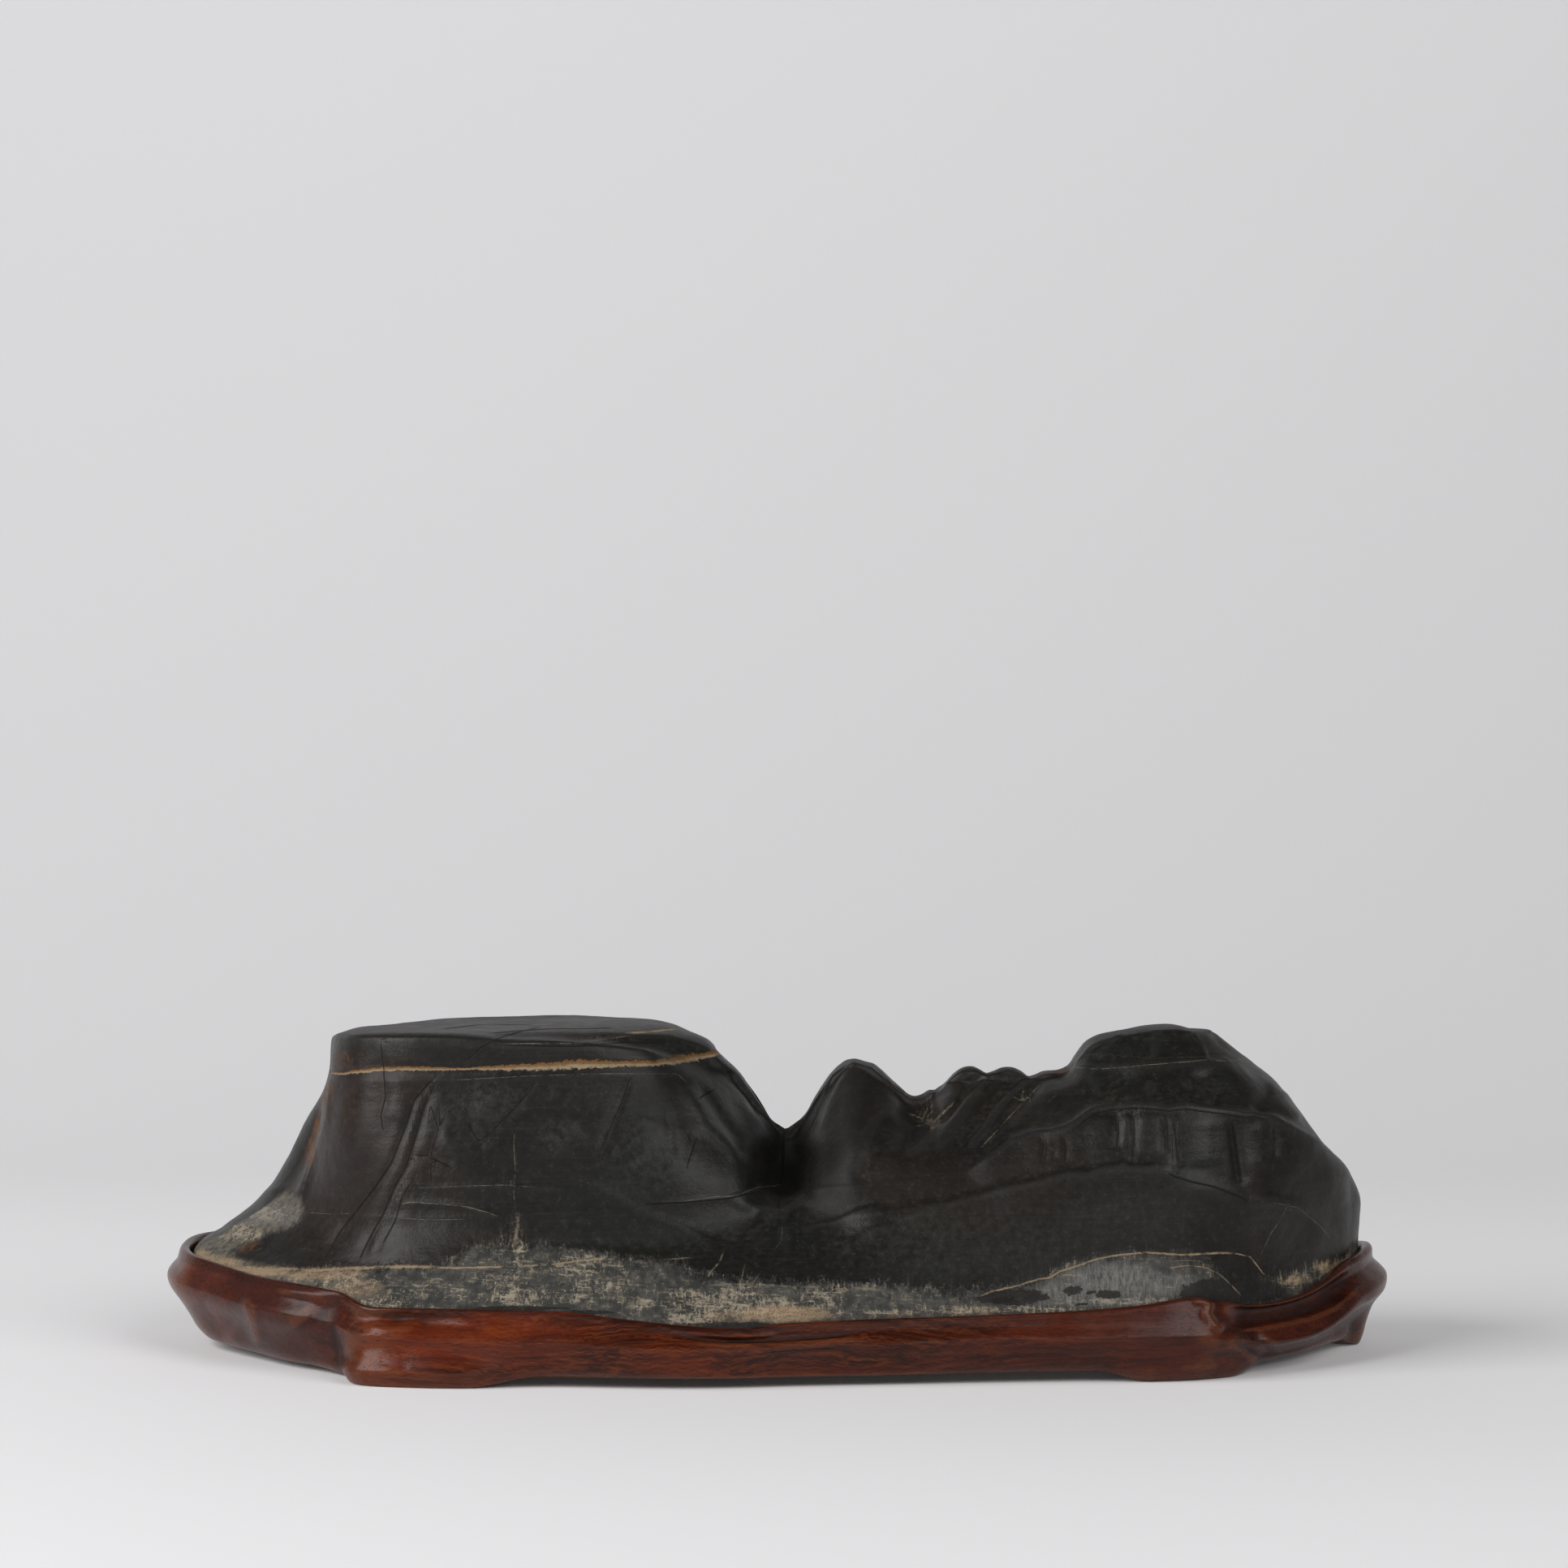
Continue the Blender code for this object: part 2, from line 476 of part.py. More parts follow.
def material(name, colour, roughness):
    """A plain Principled finish."""
    made = bpy.data.materials.new(name + "_finish")
    made.use_nodes = True
    shader = made.node_tree.nodes["Principled BSDF"]
    shader.inputs["Base Color"].default_value = colour
    shader.inputs["Roughness"].default_value = roughness
    shader.inputs["Metallic"].default_value = 0.0
    return made


def main():
    """Builds the stone and the stand, with the middle of their footprint over the origin."""
    for obj in list(bpy.data.objects):
        bpy.data.objects.remove(obj, do_unlink=True)
    tracks = columns()
    stone, stand = stone_rings(tracks), stand_rings(tracks)
    points = np.concatenate(stone + stand)
    middle = 0.5 * (points.min(axis=0) + points.max(axis=0))
    shift = np.array([middle[0], middle[1], 0.0])
    skin("stone", stone, shift, STONE_COLOUR, 0.42)
    skin("stand", stand, shift, WOOD_COLOUR, 0.3)


main()
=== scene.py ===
"""The finished look of a long viewing stone in its carved hardwood stand.

Shapes are worked out in millimetres and made in metres. Both pieces are skinned from rings that run round a
straight spine, with -Y towards the front. Relief and markings are lines drawn in the view of an eye ahead of
the stone. A place in that view is (u, v): u from its left and v from its top, 1932 units across.
"""

import logging
import math
from dataclasses import dataclass, field
from enum import Enum
from typing import Any, Sequence

import bmesh
import bpy
import numpy as np
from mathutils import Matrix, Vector


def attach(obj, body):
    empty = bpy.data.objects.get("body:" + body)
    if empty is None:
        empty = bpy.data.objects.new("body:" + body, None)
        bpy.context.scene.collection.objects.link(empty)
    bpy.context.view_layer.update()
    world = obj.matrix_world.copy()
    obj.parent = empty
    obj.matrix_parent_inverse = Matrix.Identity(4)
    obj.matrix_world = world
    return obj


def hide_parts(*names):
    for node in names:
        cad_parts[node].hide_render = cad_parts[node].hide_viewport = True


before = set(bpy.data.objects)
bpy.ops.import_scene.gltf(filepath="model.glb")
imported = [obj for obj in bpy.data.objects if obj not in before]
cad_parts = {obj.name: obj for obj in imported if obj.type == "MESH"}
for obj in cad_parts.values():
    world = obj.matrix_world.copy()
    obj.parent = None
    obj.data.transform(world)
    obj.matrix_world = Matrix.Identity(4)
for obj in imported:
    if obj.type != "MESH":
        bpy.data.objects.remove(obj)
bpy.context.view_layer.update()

log = logging.getLogger("viewing_stone")
MM = 0.001
# Points of a skin that are closer than this, in millimetres, become one.
WELD = 0.01
Point2 = tuple[float, float]
Point3 = tuple[float, float, float]
Path = tuple[Point2, ...]
Colour = tuple[float, float, float]


# ----------------------------------------------------------------------------------------------------
# Curves and rings
# ----------------------------------------------------------------------------------------------------


def ease(share: np.ndarray) -> np.ndarray:
    """A soft step from 0 to 1."""
    share = np.clip(share, 0, 1)
    return share * share * (3 - 2 * share)


def akima(knots: Sequence[float], values: np.ndarray, at: np.ndarray) -> np.ndarray:
    """Runs Akima's curve through values: it keeps corners and doesn't overshoot.

    Args:
        knots: where the values are, rising.
        values: the values, along their first axis.
        at: where the curve is read.

    Returns:
        The curve at each place, along its first axis.
    """
    knots, values = np.asarray(knots, float), np.asarray(values, float)
    flat = values.reshape(len(knots), -1)
    slope = np.diff(flat, axis=0) / np.diff(knots)[:, None]
    first = [3 * slope[0] - 2 * slope[1], 2 * slope[0] - slope[1]]
    last = [2 * slope[-1] - slope[-2], 3 * slope[-1] - 2 * slope[-2]]
    slope = np.vstack([first, slope, last])
    turn = np.abs(np.diff(slope, axis=0)) + 0.5 * np.abs(slope[1:] + slope[:-1])
    before, after = turn[2:], turn[:-2]
    tangent = (before * slope[1:-2] + after * slope[2:-1]) / np.maximum(before + after, 1e-12)
    at = np.asarray(at, float)
    span = np.clip(np.searchsorted(knots, at, side="right") - 1, 0, len(knots) - 2)
    width = (knots[span + 1] - knots[span])[:, None]
    t = (at - knots[span])[:, None] / width
    start, end = flat[span], flat[span + 1]
    curve = (
        (2 * t**3 - 3 * t**2 + 1) * start
        + (t**3 - 2 * t**2 + t) * width * tangent[span]
        + (3 * t**2 - 2 * t**3) * end
        + (t**3 - t**2) * width * tangent[span + 1]
    )
    return curve.reshape((len(at),) + values.shape[1:])


@dataclass(frozen=True)
class Spine:
    """The straight line in plan that the rings run round, and the track travelled round it."""

    left: Point2 = (-130.0, 14.0)
    right: Point2 = (150.0, 4.0)
    end_turn: float = 190.0

    @property
    def run(self) -> float:
        """The spine's length along X."""
        return self.right[0] - self.left[0]

    @property
    def track(self) -> float:
        """The whole way round: front, right end, rear and left end."""
        return 2 * (self.run + self.end_turn)

    def y_at(self, x: np.ndarray | float) -> np.ndarray | float:
        """The spine's y at x."""
        return self.left[1] + (x - self.left[0]) / self.run * (self.right[1] - self.left[1])

    def track_of(self, x: float, y: float) -> Point2:
        """The track of a point in plan, and its distance from the spine."""
        if self.left[0] <= x <= self.right[0]:
            along, reach = x - self.left[0], y - self.y_at(x)
            return (along if reach < 0 else 2 * self.run + self.end_turn - along), abs(reach)
        pivot, start, facing = self.right, self.run, -0.5 * math.pi
        if x < self.left[0]:
            pivot, start, facing = self.left, 2 * self.run + self.end_turn, 0.5 * math.pi
        turned = (math.atan2(y - pivot[1], x - pivot[0]) - facing) % (2 * math.pi)
        return start + turned / math.pi * self.end_turn, math.hypot(x - pivot[0], y - pivot[1])

    def rays(self, tracks: np.ndarray) -> tuple[np.ndarray, np.ndarray]:
        """The point on the spine that each track's ray starts from, and the ray's direction, both (n, 2)."""
        turns = [0, self.run, self.run + self.end_turn, 2 * self.run + self.end_turn, self.track]
        x = self.left[0] + np.interp(tracks % self.track, turns, [0, self.run, self.run, 0, 0])
        angle = np.radians(np.interp(tracks % self.track, turns, [-90, -90, 90, 90, 270]))
        return np.stack([x, self.y_at(x)], 1), np.stack([np.cos(angle), np.sin(angle)], 1)

    def round_curve(self, tracks: Sequence[float], values: Sequence[Any], at: np.ndarray) -> np.ndarray:
        """akima() for values that repeat once round the track."""
        order = np.argsort(tracks)
        tracks, values = np.asarray(tracks, float)[order], np.asarray(values, float)[order]
        knots = np.concatenate([tracks - self.track, tracks, tracks + self.track])
        return akima(knots, np.concatenate([values, values, values]), at % self.track)

    def contour(self, points: Sequence[Point3], tracks: np.ndarray) -> np.ndarray:
        """(distance from the spine, height) of a contour line at each track."""
        placed = [(*self.track_of(x, y), z) for x, y, z in points]
        return self.round_curve([p[0] for p in placed], [p[1:] for p in placed], tracks)

    def ring(self, tracks: np.ndarray, reach: np.ndarray, height: np.ndarray) -> np.ndarray:
        """The (n, 3) points at those distances from the spine and those heights."""
        start, direction = self.rays(tracks)
        return np.column_stack([start + direction * np.asarray(reach)[:, None], height])

    def columns(
        self, side: Sequence[Point3], right: Sequence[Point3], left: Sequence[Point3]
    ) -> np.ndarray:
        """The tracks of a fine grid's columns.

        Args:
            side: (from x, to x, step) along the spine, which the front and the rear share.
            right: (from, to, step) along the half turn round the right end.
            left: the same round the left end.

        Returns:
            The tracks, rising, with the front's and the rear's columns facing each other across the spine.
        """
        along, right_end, left_end = (
            np.concatenate([
                np.linspace(a, b, round((b - a) / step), endpoint=False) for a, b, step in stretches
            ])
            for stretches in (side, right, left)
        )
        along = along - self.left[0]
        turned = self.run + self.end_turn
        rear = (self.run + turned - along[1:])[::-1]
        return np.concatenate([along, self.run + right_end, [turned], rear, self.run + turned + left_end])


SPINE = Spine()


# ----------------------------------------------------------------------------------------------------
# Relief drawn in a view
# ----------------------------------------------------------------------------------------------------


@dataclass(frozen=True)
class Eye:
    """The eye whose view the relief and the markings are drawn in.

    It stands at (0, y, z) in millimetres and looks level along +Y. Its view is 1932 units square with its
    middle at 966, and reach is the number of units that a millimetre covers a millimetre away.
    """

    y: float = -1348.0
    z: float = 209.4
    middle: float = 966.0
    reach: float = 4500.0

    @property
    def scale(self) -> float:
        """View units to a millimetre, in the plane y = 0."""
        return -self.reach / self.y

    def view(self, points: np.ndarray) -> np.ndarray:
        """The (u, v) places of points."""
        away = points - np.array([0, self.y, self.z])
        share = self.reach / away[..., 1]
        return np.stack([self.middle + share * away[..., 0], self.middle - share * away[..., 2]], -1)


EYE = Eye()


class Form(Enum):
    """How a stroke of relief stands to the line it is drawn on."""

    ROUND = "as much on one side as on the other"
    LEDGE = "steep on the upper side, fading slowly below"
    SHELF = "steep on the lower side, fading slowly above"


@dataclass(frozen=True)
class Stroke:
    """A line of relief.

    Its width and height are in millimetres, its path is in the view, and taper is the share of it that
    fades out at each end.
    """

    form: Form
    width: float
    height: float
    path: Path
    taper: float = 0.2


@dataclass(frozen=True)
class Spot:
    """A soft oval patch in the view: its middle, half its width and half its height, and its strength."""

    u: float
    v: float
    across: float
    down: float
    strength: float = 1.0


def path_distance(path: Path, places: np.ndarray) -> tuple[np.ndarray, np.ndarray, float]:
    """Measures places in the view against a path.

    Args:
        path: the path's points.
        places: (..., 2) places.

    Returns:
        The signed distance in millimetres, positive above a path that runs to the right, the distance run
        along the path, and the path's length.
    """
    line = np.array(path, float) / EYE.scale
    places = places / EYE.scale
    lengths = np.linalg.norm(np.diff(line, axis=0), axis=1)
    travelled = np.concatenate([[0], np.cumsum(lengths)])
    nearest = np.full(places.shape[:-1], 1e9)
    signed, along = np.zeros_like(nearest), np.zeros_like(nearest)
    for start, end, length, before in zip(line, line[1:], lengths, travelled):
        direction = (end - start) / length
        offset = places - start
        run = np.clip(offset @ direction, 0, length)
        gap = np.linalg.norm(offset - run[..., None] * direction, axis=-1)
        turned = direction[1] * offset[..., 0] - direction[0] * offset[..., 1]
        closer = gap < nearest
        nearest = np.where(closer, gap, nearest)
        signed = np.where(closer, np.where(turned < 0, -gap, gap), signed)
        along = np.where(closer, before + run, along)
    return signed, along, travelled[-1]


# How far from its ends a line fades out, how far beside it counts as near, and what stands for no line
# near by, in millimetres.
LINE_FADE = 4.0
LINE_REACH = 2.6
FAR_OFF = 99.0


def line_marks(name: str, lines: Sequence[tuple[float, Path]], places: np.ndarray) -> dict[str, np.ndarray]:
    """Measures places against several lines, each given by half its width in millimetres and its path.

    Args:
        name: the name of the mark.
        lines: (half of the width, path) pairs.
        places: (..., 2) places in the view.

    Returns:
        Under the name, the signed distance from the nearest line's middle in halves of its width. Under the
        name with "_near", 1 beside a line and 0 a little way off, where the distance changes sign from one
        line to the next, and fading towards the line's ends.
    """
    across = np.full(places.shape[:-1], FAR_OFF)
    near, gap = np.zeros(across.shape), np.full(across.shape, FAR_OFF)
    for half, path in lines:
        signed, along, length = path_distance(path, places)
        closer = np.abs(signed) < gap
        gap = np.where(closer, np.abs(signed), gap)
        across = np.where(closer, signed / half, across)
        fade = ease(np.minimum(along, length - along) / min(LINE_FADE, 0.3 * length))
        near = np.where(closer, fade * ease(LINE_REACH - np.abs(signed)), near)
    return {name: across, name + "_near": near}


def spot_mark(spots: Sequence[Spot], places: np.ndarray) -> np.ndarray:
    """How strongly the spots cover each place in the view: 0 to 1."""
    cover = np.zeros(places.shape[:-1])
    for spot in spots:
        gap = np.hypot((places[..., 0] - spot.u) / spot.across, (places[..., 1] - spot.v) / spot.down)
        cover = np.maximum(cover, spot.strength * ease(1.5 - gap))
    return cover


def stroke_height(stroke: Stroke, places: np.ndarray) -> np.ndarray:
    """How far the stroke raises the surface at each place in the view, in millimetres."""
    signed, along, length = path_distance(stroke.path, places)
    gap = np.abs(signed)
    steep = np.exp(-((gap / (0.22 * stroke.width)) ** 2))
    slow = np.exp(-gap / stroke.width)
    if stroke.form is Form.ROUND:
        shape = np.exp(-((gap / stroke.width) ** 2))
    elif stroke.form is Form.LEDGE:
        shape = np.where(signed > 0, steep, slow)
    else:
        shape = np.where(signed > 0, slow, steep)
    taper = max(stroke.taper * length, 0.5)
    return stroke.height * shape * ease(along / taper) * ease((length - along) / taper)


def relief_height(strokes: Sequence[Stroke], places: np.ndarray) -> np.ndarray:
    """All the strokes together: ledges add up, and of ribs, or of gullies, the strongest counts."""
    ledges, ribs, gullies = (np.zeros(places.shape[:-1]) for _ in range(3))
    for stroke in strokes:
        height = stroke_height(stroke, places)
        if stroke.form is Form.ROUND:
            ribs = np.maximum(ribs, height)
            gullies = np.minimum(gullies, height)
        else:
            ledges += height
    return ledges + ribs + gullies


def grid_normals(grid: np.ndarray) -> np.ndarray:
    """The outward normals of a grid of points: rings going up, each running anticlockwise."""
    round_the_ring = np.roll(grid, -1, axis=1) - np.roll(grid, 1, axis=1)
    normal = np.cross(round_the_ring, np.gradient(grid, axis=0))
    return normal / np.maximum(np.linalg.norm(normal, axis=-1, keepdims=True), 1e-9)


# ----------------------------------------------------------------------------------------------------
# Meshes
# ----------------------------------------------------------------------------------------------------


def skin_mesh(name: str, grid: np.ndarray, shift: np.ndarray, marks: dict[str, np.ndarray]) -> bpy.types.Mesh:
    """Makes a closed mesh from rings of points.

    Args:
        name: the mesh's name.
        grid: (rings, columns, 3) points in millimetres, the rings going up.
        shift: what is taken off every point, in millimetres.
        marks: (rings, columns) values by name, kept on the points as float attributes.

    Returns:
        The mesh, in metres, with a flat cap under its first ring and its last ring drawn together.
    """
    rings, count = grid.shape[:2]
    points = (grid.reshape(-1, 3) - shift) * MM
    lower = np.arange(rings - 1)[:, None] * count + np.arange(count)[None, :]
    right = np.roll(lower, -1, axis=1)
    quads = np.stack([lower, right, right + count, lower + count], -1).reshape(-1, 4)
    under, over = (ring.mean(axis=0) for ring in (points[:count], points[-count:]))
    points = np.vstack([points, under, over])
    hub, top = len(points) - 2, len(points) - 1
    here = np.arange(count)
    there = np.roll(here, -1)
    faces = quads.tolist() + np.stack([there, here, np.full(count, hub)], -1).tolist()
    flat_top = float(np.ptp(grid[-1, :, 2])) < 1e-6
    if flat_top:
        base = (rings - 1) * count
        faces += np.stack([base + here, base + there, np.full(count, top)], -1).tolist()
    mesh = bpy.data.meshes.new(name)
    mesh.from_pydata(points.tolist(), [], faces)
    for mark, values in marks.items():
        layer = mesh.attributes.new(mark, "FLOAT", "POINT")
        flat = np.concatenate([values.reshape(-1), [values[0].mean(), values[-1].mean()]])
        layer.data.foreach_set("value", flat.astype(np.float32))
    return mesh


def welded(mesh: bpy.types.Mesh, distance: float) -> bpy.types.Mesh:
    """Merges the mesh's doubles, turns its faces outwards and shades it smooth."""
    bm = bmesh.new()
    bm.from_mesh(mesh)
    bmesh.ops.remove_doubles(bm, verts=bm.verts, dist=distance * MM)
    loose = [vert for vert in bm.verts if not vert.link_faces]
    bmesh.ops.delete(bm, geom=loose, context="VERTS")
    bmesh.ops.recalc_face_normals(bm, faces=bm.faces)
    bm.to_mesh(mesh)
    bm.free()
    mesh.shade_smooth()
    return mesh


# ----------------------------------------------------------------------------------------------------
# Nodes
# ----------------------------------------------------------------------------------------------------


class Sock:
    """A node's output that can be used in arithmetic: each operator adds its Math node."""

    def __init__(self, nodes: "Nodes", out: bpy.types.NodeSocket) -> None:
        """Wraps one output of a node."""
        self.nodes = nodes
        self.out = out

    def maths(self, operation: str, *values: Any) -> "Sock":
        """One Math node on these values."""
        return self.nodes.add("ShaderNodeMath", {"operation": operation}, dict(enumerate(values)))

    def __add__(self, other: Any) -> "Sock":
        """self + other."""
        return self.maths("ADD", self, other)

    def __radd__(self, other: Any) -> "Sock":
        """other + self."""
        return self.maths("ADD", other, self)

    def __sub__(self, other: Any) -> "Sock":
        """self - other."""
        return self.maths("SUBTRACT", self, other)

    def __rsub__(self, other: Any) -> "Sock":
        """other - self."""
        return self.maths("SUBTRACT", other, self)

    def __mul__(self, other: Any) -> "Sock":
        """self * other."""
        return self.maths("MULTIPLY", self, other)

    def __rmul__(self, other: Any) -> "Sock":
        """other * self."""
        return self.maths("MULTIPLY", other, self)

    def __abs__(self) -> "Sock":
        """The size of the value."""
        return self.maths("ABSOLUTE", self)

    def power(self, exponent: Any) -> "Sock":
        """self to a power."""
        return self.maths("POWER", self, exponent)

    def most(self, other: Any) -> "Sock":
        """The larger of the two."""
        return self.maths("MAXIMUM", self, other)

    def least(self, other: Any) -> "Sock":
        """The smaller of the two."""
        return self.maths("MINIMUM", self, other)

    def sine(self) -> "Sock":
        """The sine of the value."""
        return self.maths("SINE", self)

    def step(self, low: Any, high: Any) -> "Sock":
        """A soft step: 0 at low and 1 at high, or the other way round where low is the larger."""
        rising = {"From Min": low, "From Max": high}
        turned = isinstance(low, (int, float)) and isinstance(high, (int, float)) and low > high
        if turned:
            rising = {"From Min": high, "From Max": low}
        ends = {"To Min": 1.0, "To Max": 0.0} if turned else {"To Min": 0.0, "To Max": 1.0}
        settings = {"interpolation_type": "SMOOTHSTEP"}
        return self.nodes.add("ShaderNodeMapRange", settings, {"Value": self, **rising, **ends})


class Nodes:
    """Adds nodes to one tree, of a material or of a Geometry Nodes group."""

    def __init__(self, tree: bpy.types.NodeTree) -> None:
        """Starts in an empty tree."""
        self.tree = tree
        tree.nodes.clear()

    def add(self, kind: str, settings: dict[str, Any], values: dict[Any, Any], output: Any = 0) -> Sock:
        """Adds a node.

        Args:
            kind: the node's type.
            settings: its properties.
            values: numbers, tuples or links by the input's name or index.
            output: the output wanted, by name or index.

        Returns:
            The wanted output.
        """
        node = self.tree.nodes.new(kind)
        for name, value in settings.items():
            setattr(node, name, value)
        for name, value in values.items():
            socket = self.socket(node.inputs, name)
            if isinstance(value, Sock):
                self.tree.links.new(value.out, socket)
            else:
                socket.default_value = value
        return Sock(self, self.socket(node.outputs, output))

    @staticmethod
    def socket(sockets: Any, name: Any) -> bpy.types.NodeSocket:
        """The enabled socket of that name, or the one at that index."""
        if isinstance(name, int):
            return sockets[name]
        return next(s for s in sockets if s.name == name and s.enabled)

    def xyz(self, vector: Sock) -> tuple[Sock, Sock, Sock]:
        """The parts of a vector."""
        first = self.add("ShaderNodeSeparateXYZ", {}, {0: vector})
        outputs = first.out.node.outputs
        return first, Sock(self, outputs[1]), Sock(self, outputs[2])

    def vector(self, x: Any, y: Any, z: Any) -> Sock:
        """A vector from its parts."""
        return self.add("ShaderNodeCombineXYZ", {}, {0: x, 1: y, 2: z})

    def moved(self, vector: Sock, scale: Point3, move: Point3 = (0.0, 0.0, 0.0)) -> Sock:
        """The vector times scale plus move."""
        settings = {"operation": "MULTIPLY_ADD"}
        return self.add("ShaderNodeVectorMath", settings, {0: vector, 1: scale, 2: move})

    def warped(self, vector: Sock, scale: float, amount: float) -> Sock:
        """The vector pushed about by noise of that scale."""
        push = self.add("ShaderNodeTexNoise", {}, {"Vector": vector, "Scale": scale, "Detail": 3.0}, "Color")
        centred = self.moved(push, (amount,) * 3, (-0.5 * amount,) * 3)
        return self.add("ShaderNodeVectorMath", {"operation": "ADD"}, {0: vector, 1: centred})

    def noise(self, vector: Sock, scale: float, detail: float = 4.0, roughness: float = 0.55) -> Sock:
        """Noise from 0 to 1."""
        values = {"Vector": vector, "Scale": scale, "Detail": detail, "Roughness": roughness}
        return self.add("ShaderNodeTexNoise", {}, values)

    def cells(self, vector: Sock, scale: float) -> Sock:
        """The distance from the middle of the nearest cell, smooth across the borders."""
        settings = {"feature": "SMOOTH_F1"}
        return self.add("ShaderNodeTexVoronoi", settings, {"Vector": vector, "Scale": scale}, "Distance")

    def blend(self, factor: Any, under: Any, over: Any) -> Sock:
        """Mixes two colours: all under at a factor of 0, all over at 1."""
        settings = {"data_type": "RGBA", "blend_type": "MIX", "clamp_factor": True}
        node = self.tree.nodes.new("ShaderNodeMix")
        for name, value in settings.items():
            setattr(node, name, value)
        for name, value in (("Factor", factor), ("A", under), ("B", over)):
            socket = self.socket(node.inputs, name)
            if isinstance(value, Sock):
                self.tree.links.new(value.out, socket)
            else:
                socket.default_value = value if name == "Factor" else (*value[:3], 1.0)
        return Sock(self, self.socket(node.outputs, "Result"))



class Surface(Nodes):
    """Builds one material around a Principled shader."""

    def __init__(self, name: str) -> None:
        """Starts the material."""
        self.material = bpy.data.materials.new(name)
        self.material.use_nodes = True
        super().__init__(self.material.node_tree)
        self.place = self.add("ShaderNodeTexCoord", {}, {}, "Object")
        self.bumps: list[tuple[Sock, float, float]] = []

    def read(self, name: str) -> Sock:
        """A mark of the piece's points."""
        return self.add("ShaderNodeAttribute", {"attribute_name": name}, {}, "Fac")

    def bump(self, height: Sock, distance: float, strength: float = 1.0) -> None:
        """Adds a layer of bump, distance in metres."""
        self.bumps.append((height, distance, strength))

    def finish(self, sockets: dict[str, Any]) -> bpy.types.Material:
        """Adds the shader with these sockets and the bump, and returns the material."""
        values = dict(sockets)
        normal = None
        for height, distance, strength in self.bumps:
            layer = {"Height": height, "Distance": distance, "Strength": strength}
            if normal is not None:
                layer["Normal"] = normal
            normal = self.add("ShaderNodeBump", {}, layer, "Normal")
        if normal is not None:
            values["Normal"] = normal
        shader = self.add("ShaderNodeBsdfPrincipled", {}, values)
        out = self.tree.nodes.new("ShaderNodeOutputMaterial")
        self.tree.links.new(shader.out, out.inputs["Surface"])
        return self.material


class Group(Nodes):
    """Builds one Geometry Nodes tree with named inputs."""

    def __init__(self, name: str) -> None:
        """Starts the group with its geometry input and output."""
        tree = bpy.data.node_groups.new(name, "GeometryNodeTree")
        super().__init__(tree)
        tree.interface.new_socket("Geometry", in_out="INPUT", socket_type="NodeSocketGeometry")
        tree.interface.new_socket("Geometry", in_out="OUTPUT", socket_type="NodeSocketGeometry")
        self.entry = tree.nodes.new("NodeGroupInput")
        self.exit = tree.nodes.new("NodeGroupOutput")
        self.defaults: dict[str, Any] = {}

    def input(self, name: str, kind: str, value: Any) -> Sock:
        """Adds a named input and the value that the modifier gives it."""
        self.tree.interface.new_socket(name, in_out="INPUT", socket_type=kind)
        self.defaults[name] = value
        return Sock(self, self.entry.outputs[name])

    def read(self, name: str) -> Sock:
        """A mark of the piece's points."""
        settings = {"data_type": "FLOAT"}
        return self.add("GeometryNodeInputNamedAttribute", settings, {"Name": name}, "Attribute")

    @property
    def geometry(self) -> Sock:
        """The geometry that comes in."""
        return Sock(self, self.entry.outputs["Geometry"])

    def close(self, geometry: Sock, material: bpy.types.Material) -> None:
        """Realizes instances, sets the material and ends the tree."""
        real = self.add("GeometryNodeRealizeInstances", {}, {"Geometry": geometry})
        done = self.add("GeometryNodeSetMaterial", {}, {"Geometry": real, "Material": material})
        self.tree.links.new(done.out, self.exit.inputs[0])

    def apply(self, obj: bpy.types.Object) -> bpy.types.Object:
        """Runs the tree on the object and leaves the result as its plain mesh."""
        modifier = obj.modifiers.new(self.tree.name, "NODES")
        modifier.node_group = self.tree
        for item in self.tree.interface.items_tree:
            if item.name in self.defaults:
                modifier[item.identifier] = self.defaults[item.name]
        evaluated = obj.evaluated_get(bpy.context.evaluated_depsgraph_get())
        made = bpy.data.meshes.new_from_object(evaluated)
        obj.modifiers.remove(modifier)
        old, obj.data = obj.data, made
        bpy.data.meshes.remove(old)
        made.name = obj.name
        return obj


# ----------------------------------------------------------------------------------------------------
# The stone
# ----------------------------------------------------------------------------------------------------

# The middle of the footprint in the axes of the tables below: the frame has it over its origin.
FOOTPRINT_MIDDLE = np.array([-3.517, 3.549, 0.0])

# The line where the stone comes out of the stand, from the left tip round the front.
TOE: tuple[Point3, ...] = (
    (-222, 30, 34.5), (-217, 5, 34), (-205, -12, 33), (-191, -28, 31.5), (-174, -45, 31), (-156, -58, 30),
    (-142, -70, 26.5), (-116, -74, 26.5), (-79, -78, 26.5), (-58, -80, 24.2), (-33, -81, 21.6),
    (-14, -80, 20.6), (0, -78, 22), (31, -75, 23), (66, -72, 24), (100, -69, 25.2), (124, -67, 27),
    (143, -64, 29.4), (152, -60, 27.4), (162, -53, 25.2), (183, -34, 25.5), (195, -19, 29.3),
    (202, -8, 32.5), (210, 5, 34.4), (215, 20, 36), (214, 36, 35), (203, 52, 33), (180, 61, 31),
    (140, 65, 30), (90, 67, 29), (40, 71, 29), (-10, 77, 30), (-60, 83, 31), (-120, 87, 32), (-172, 82, 34),
    (-206, 66, 36), (-220, 48, 35.5),
)
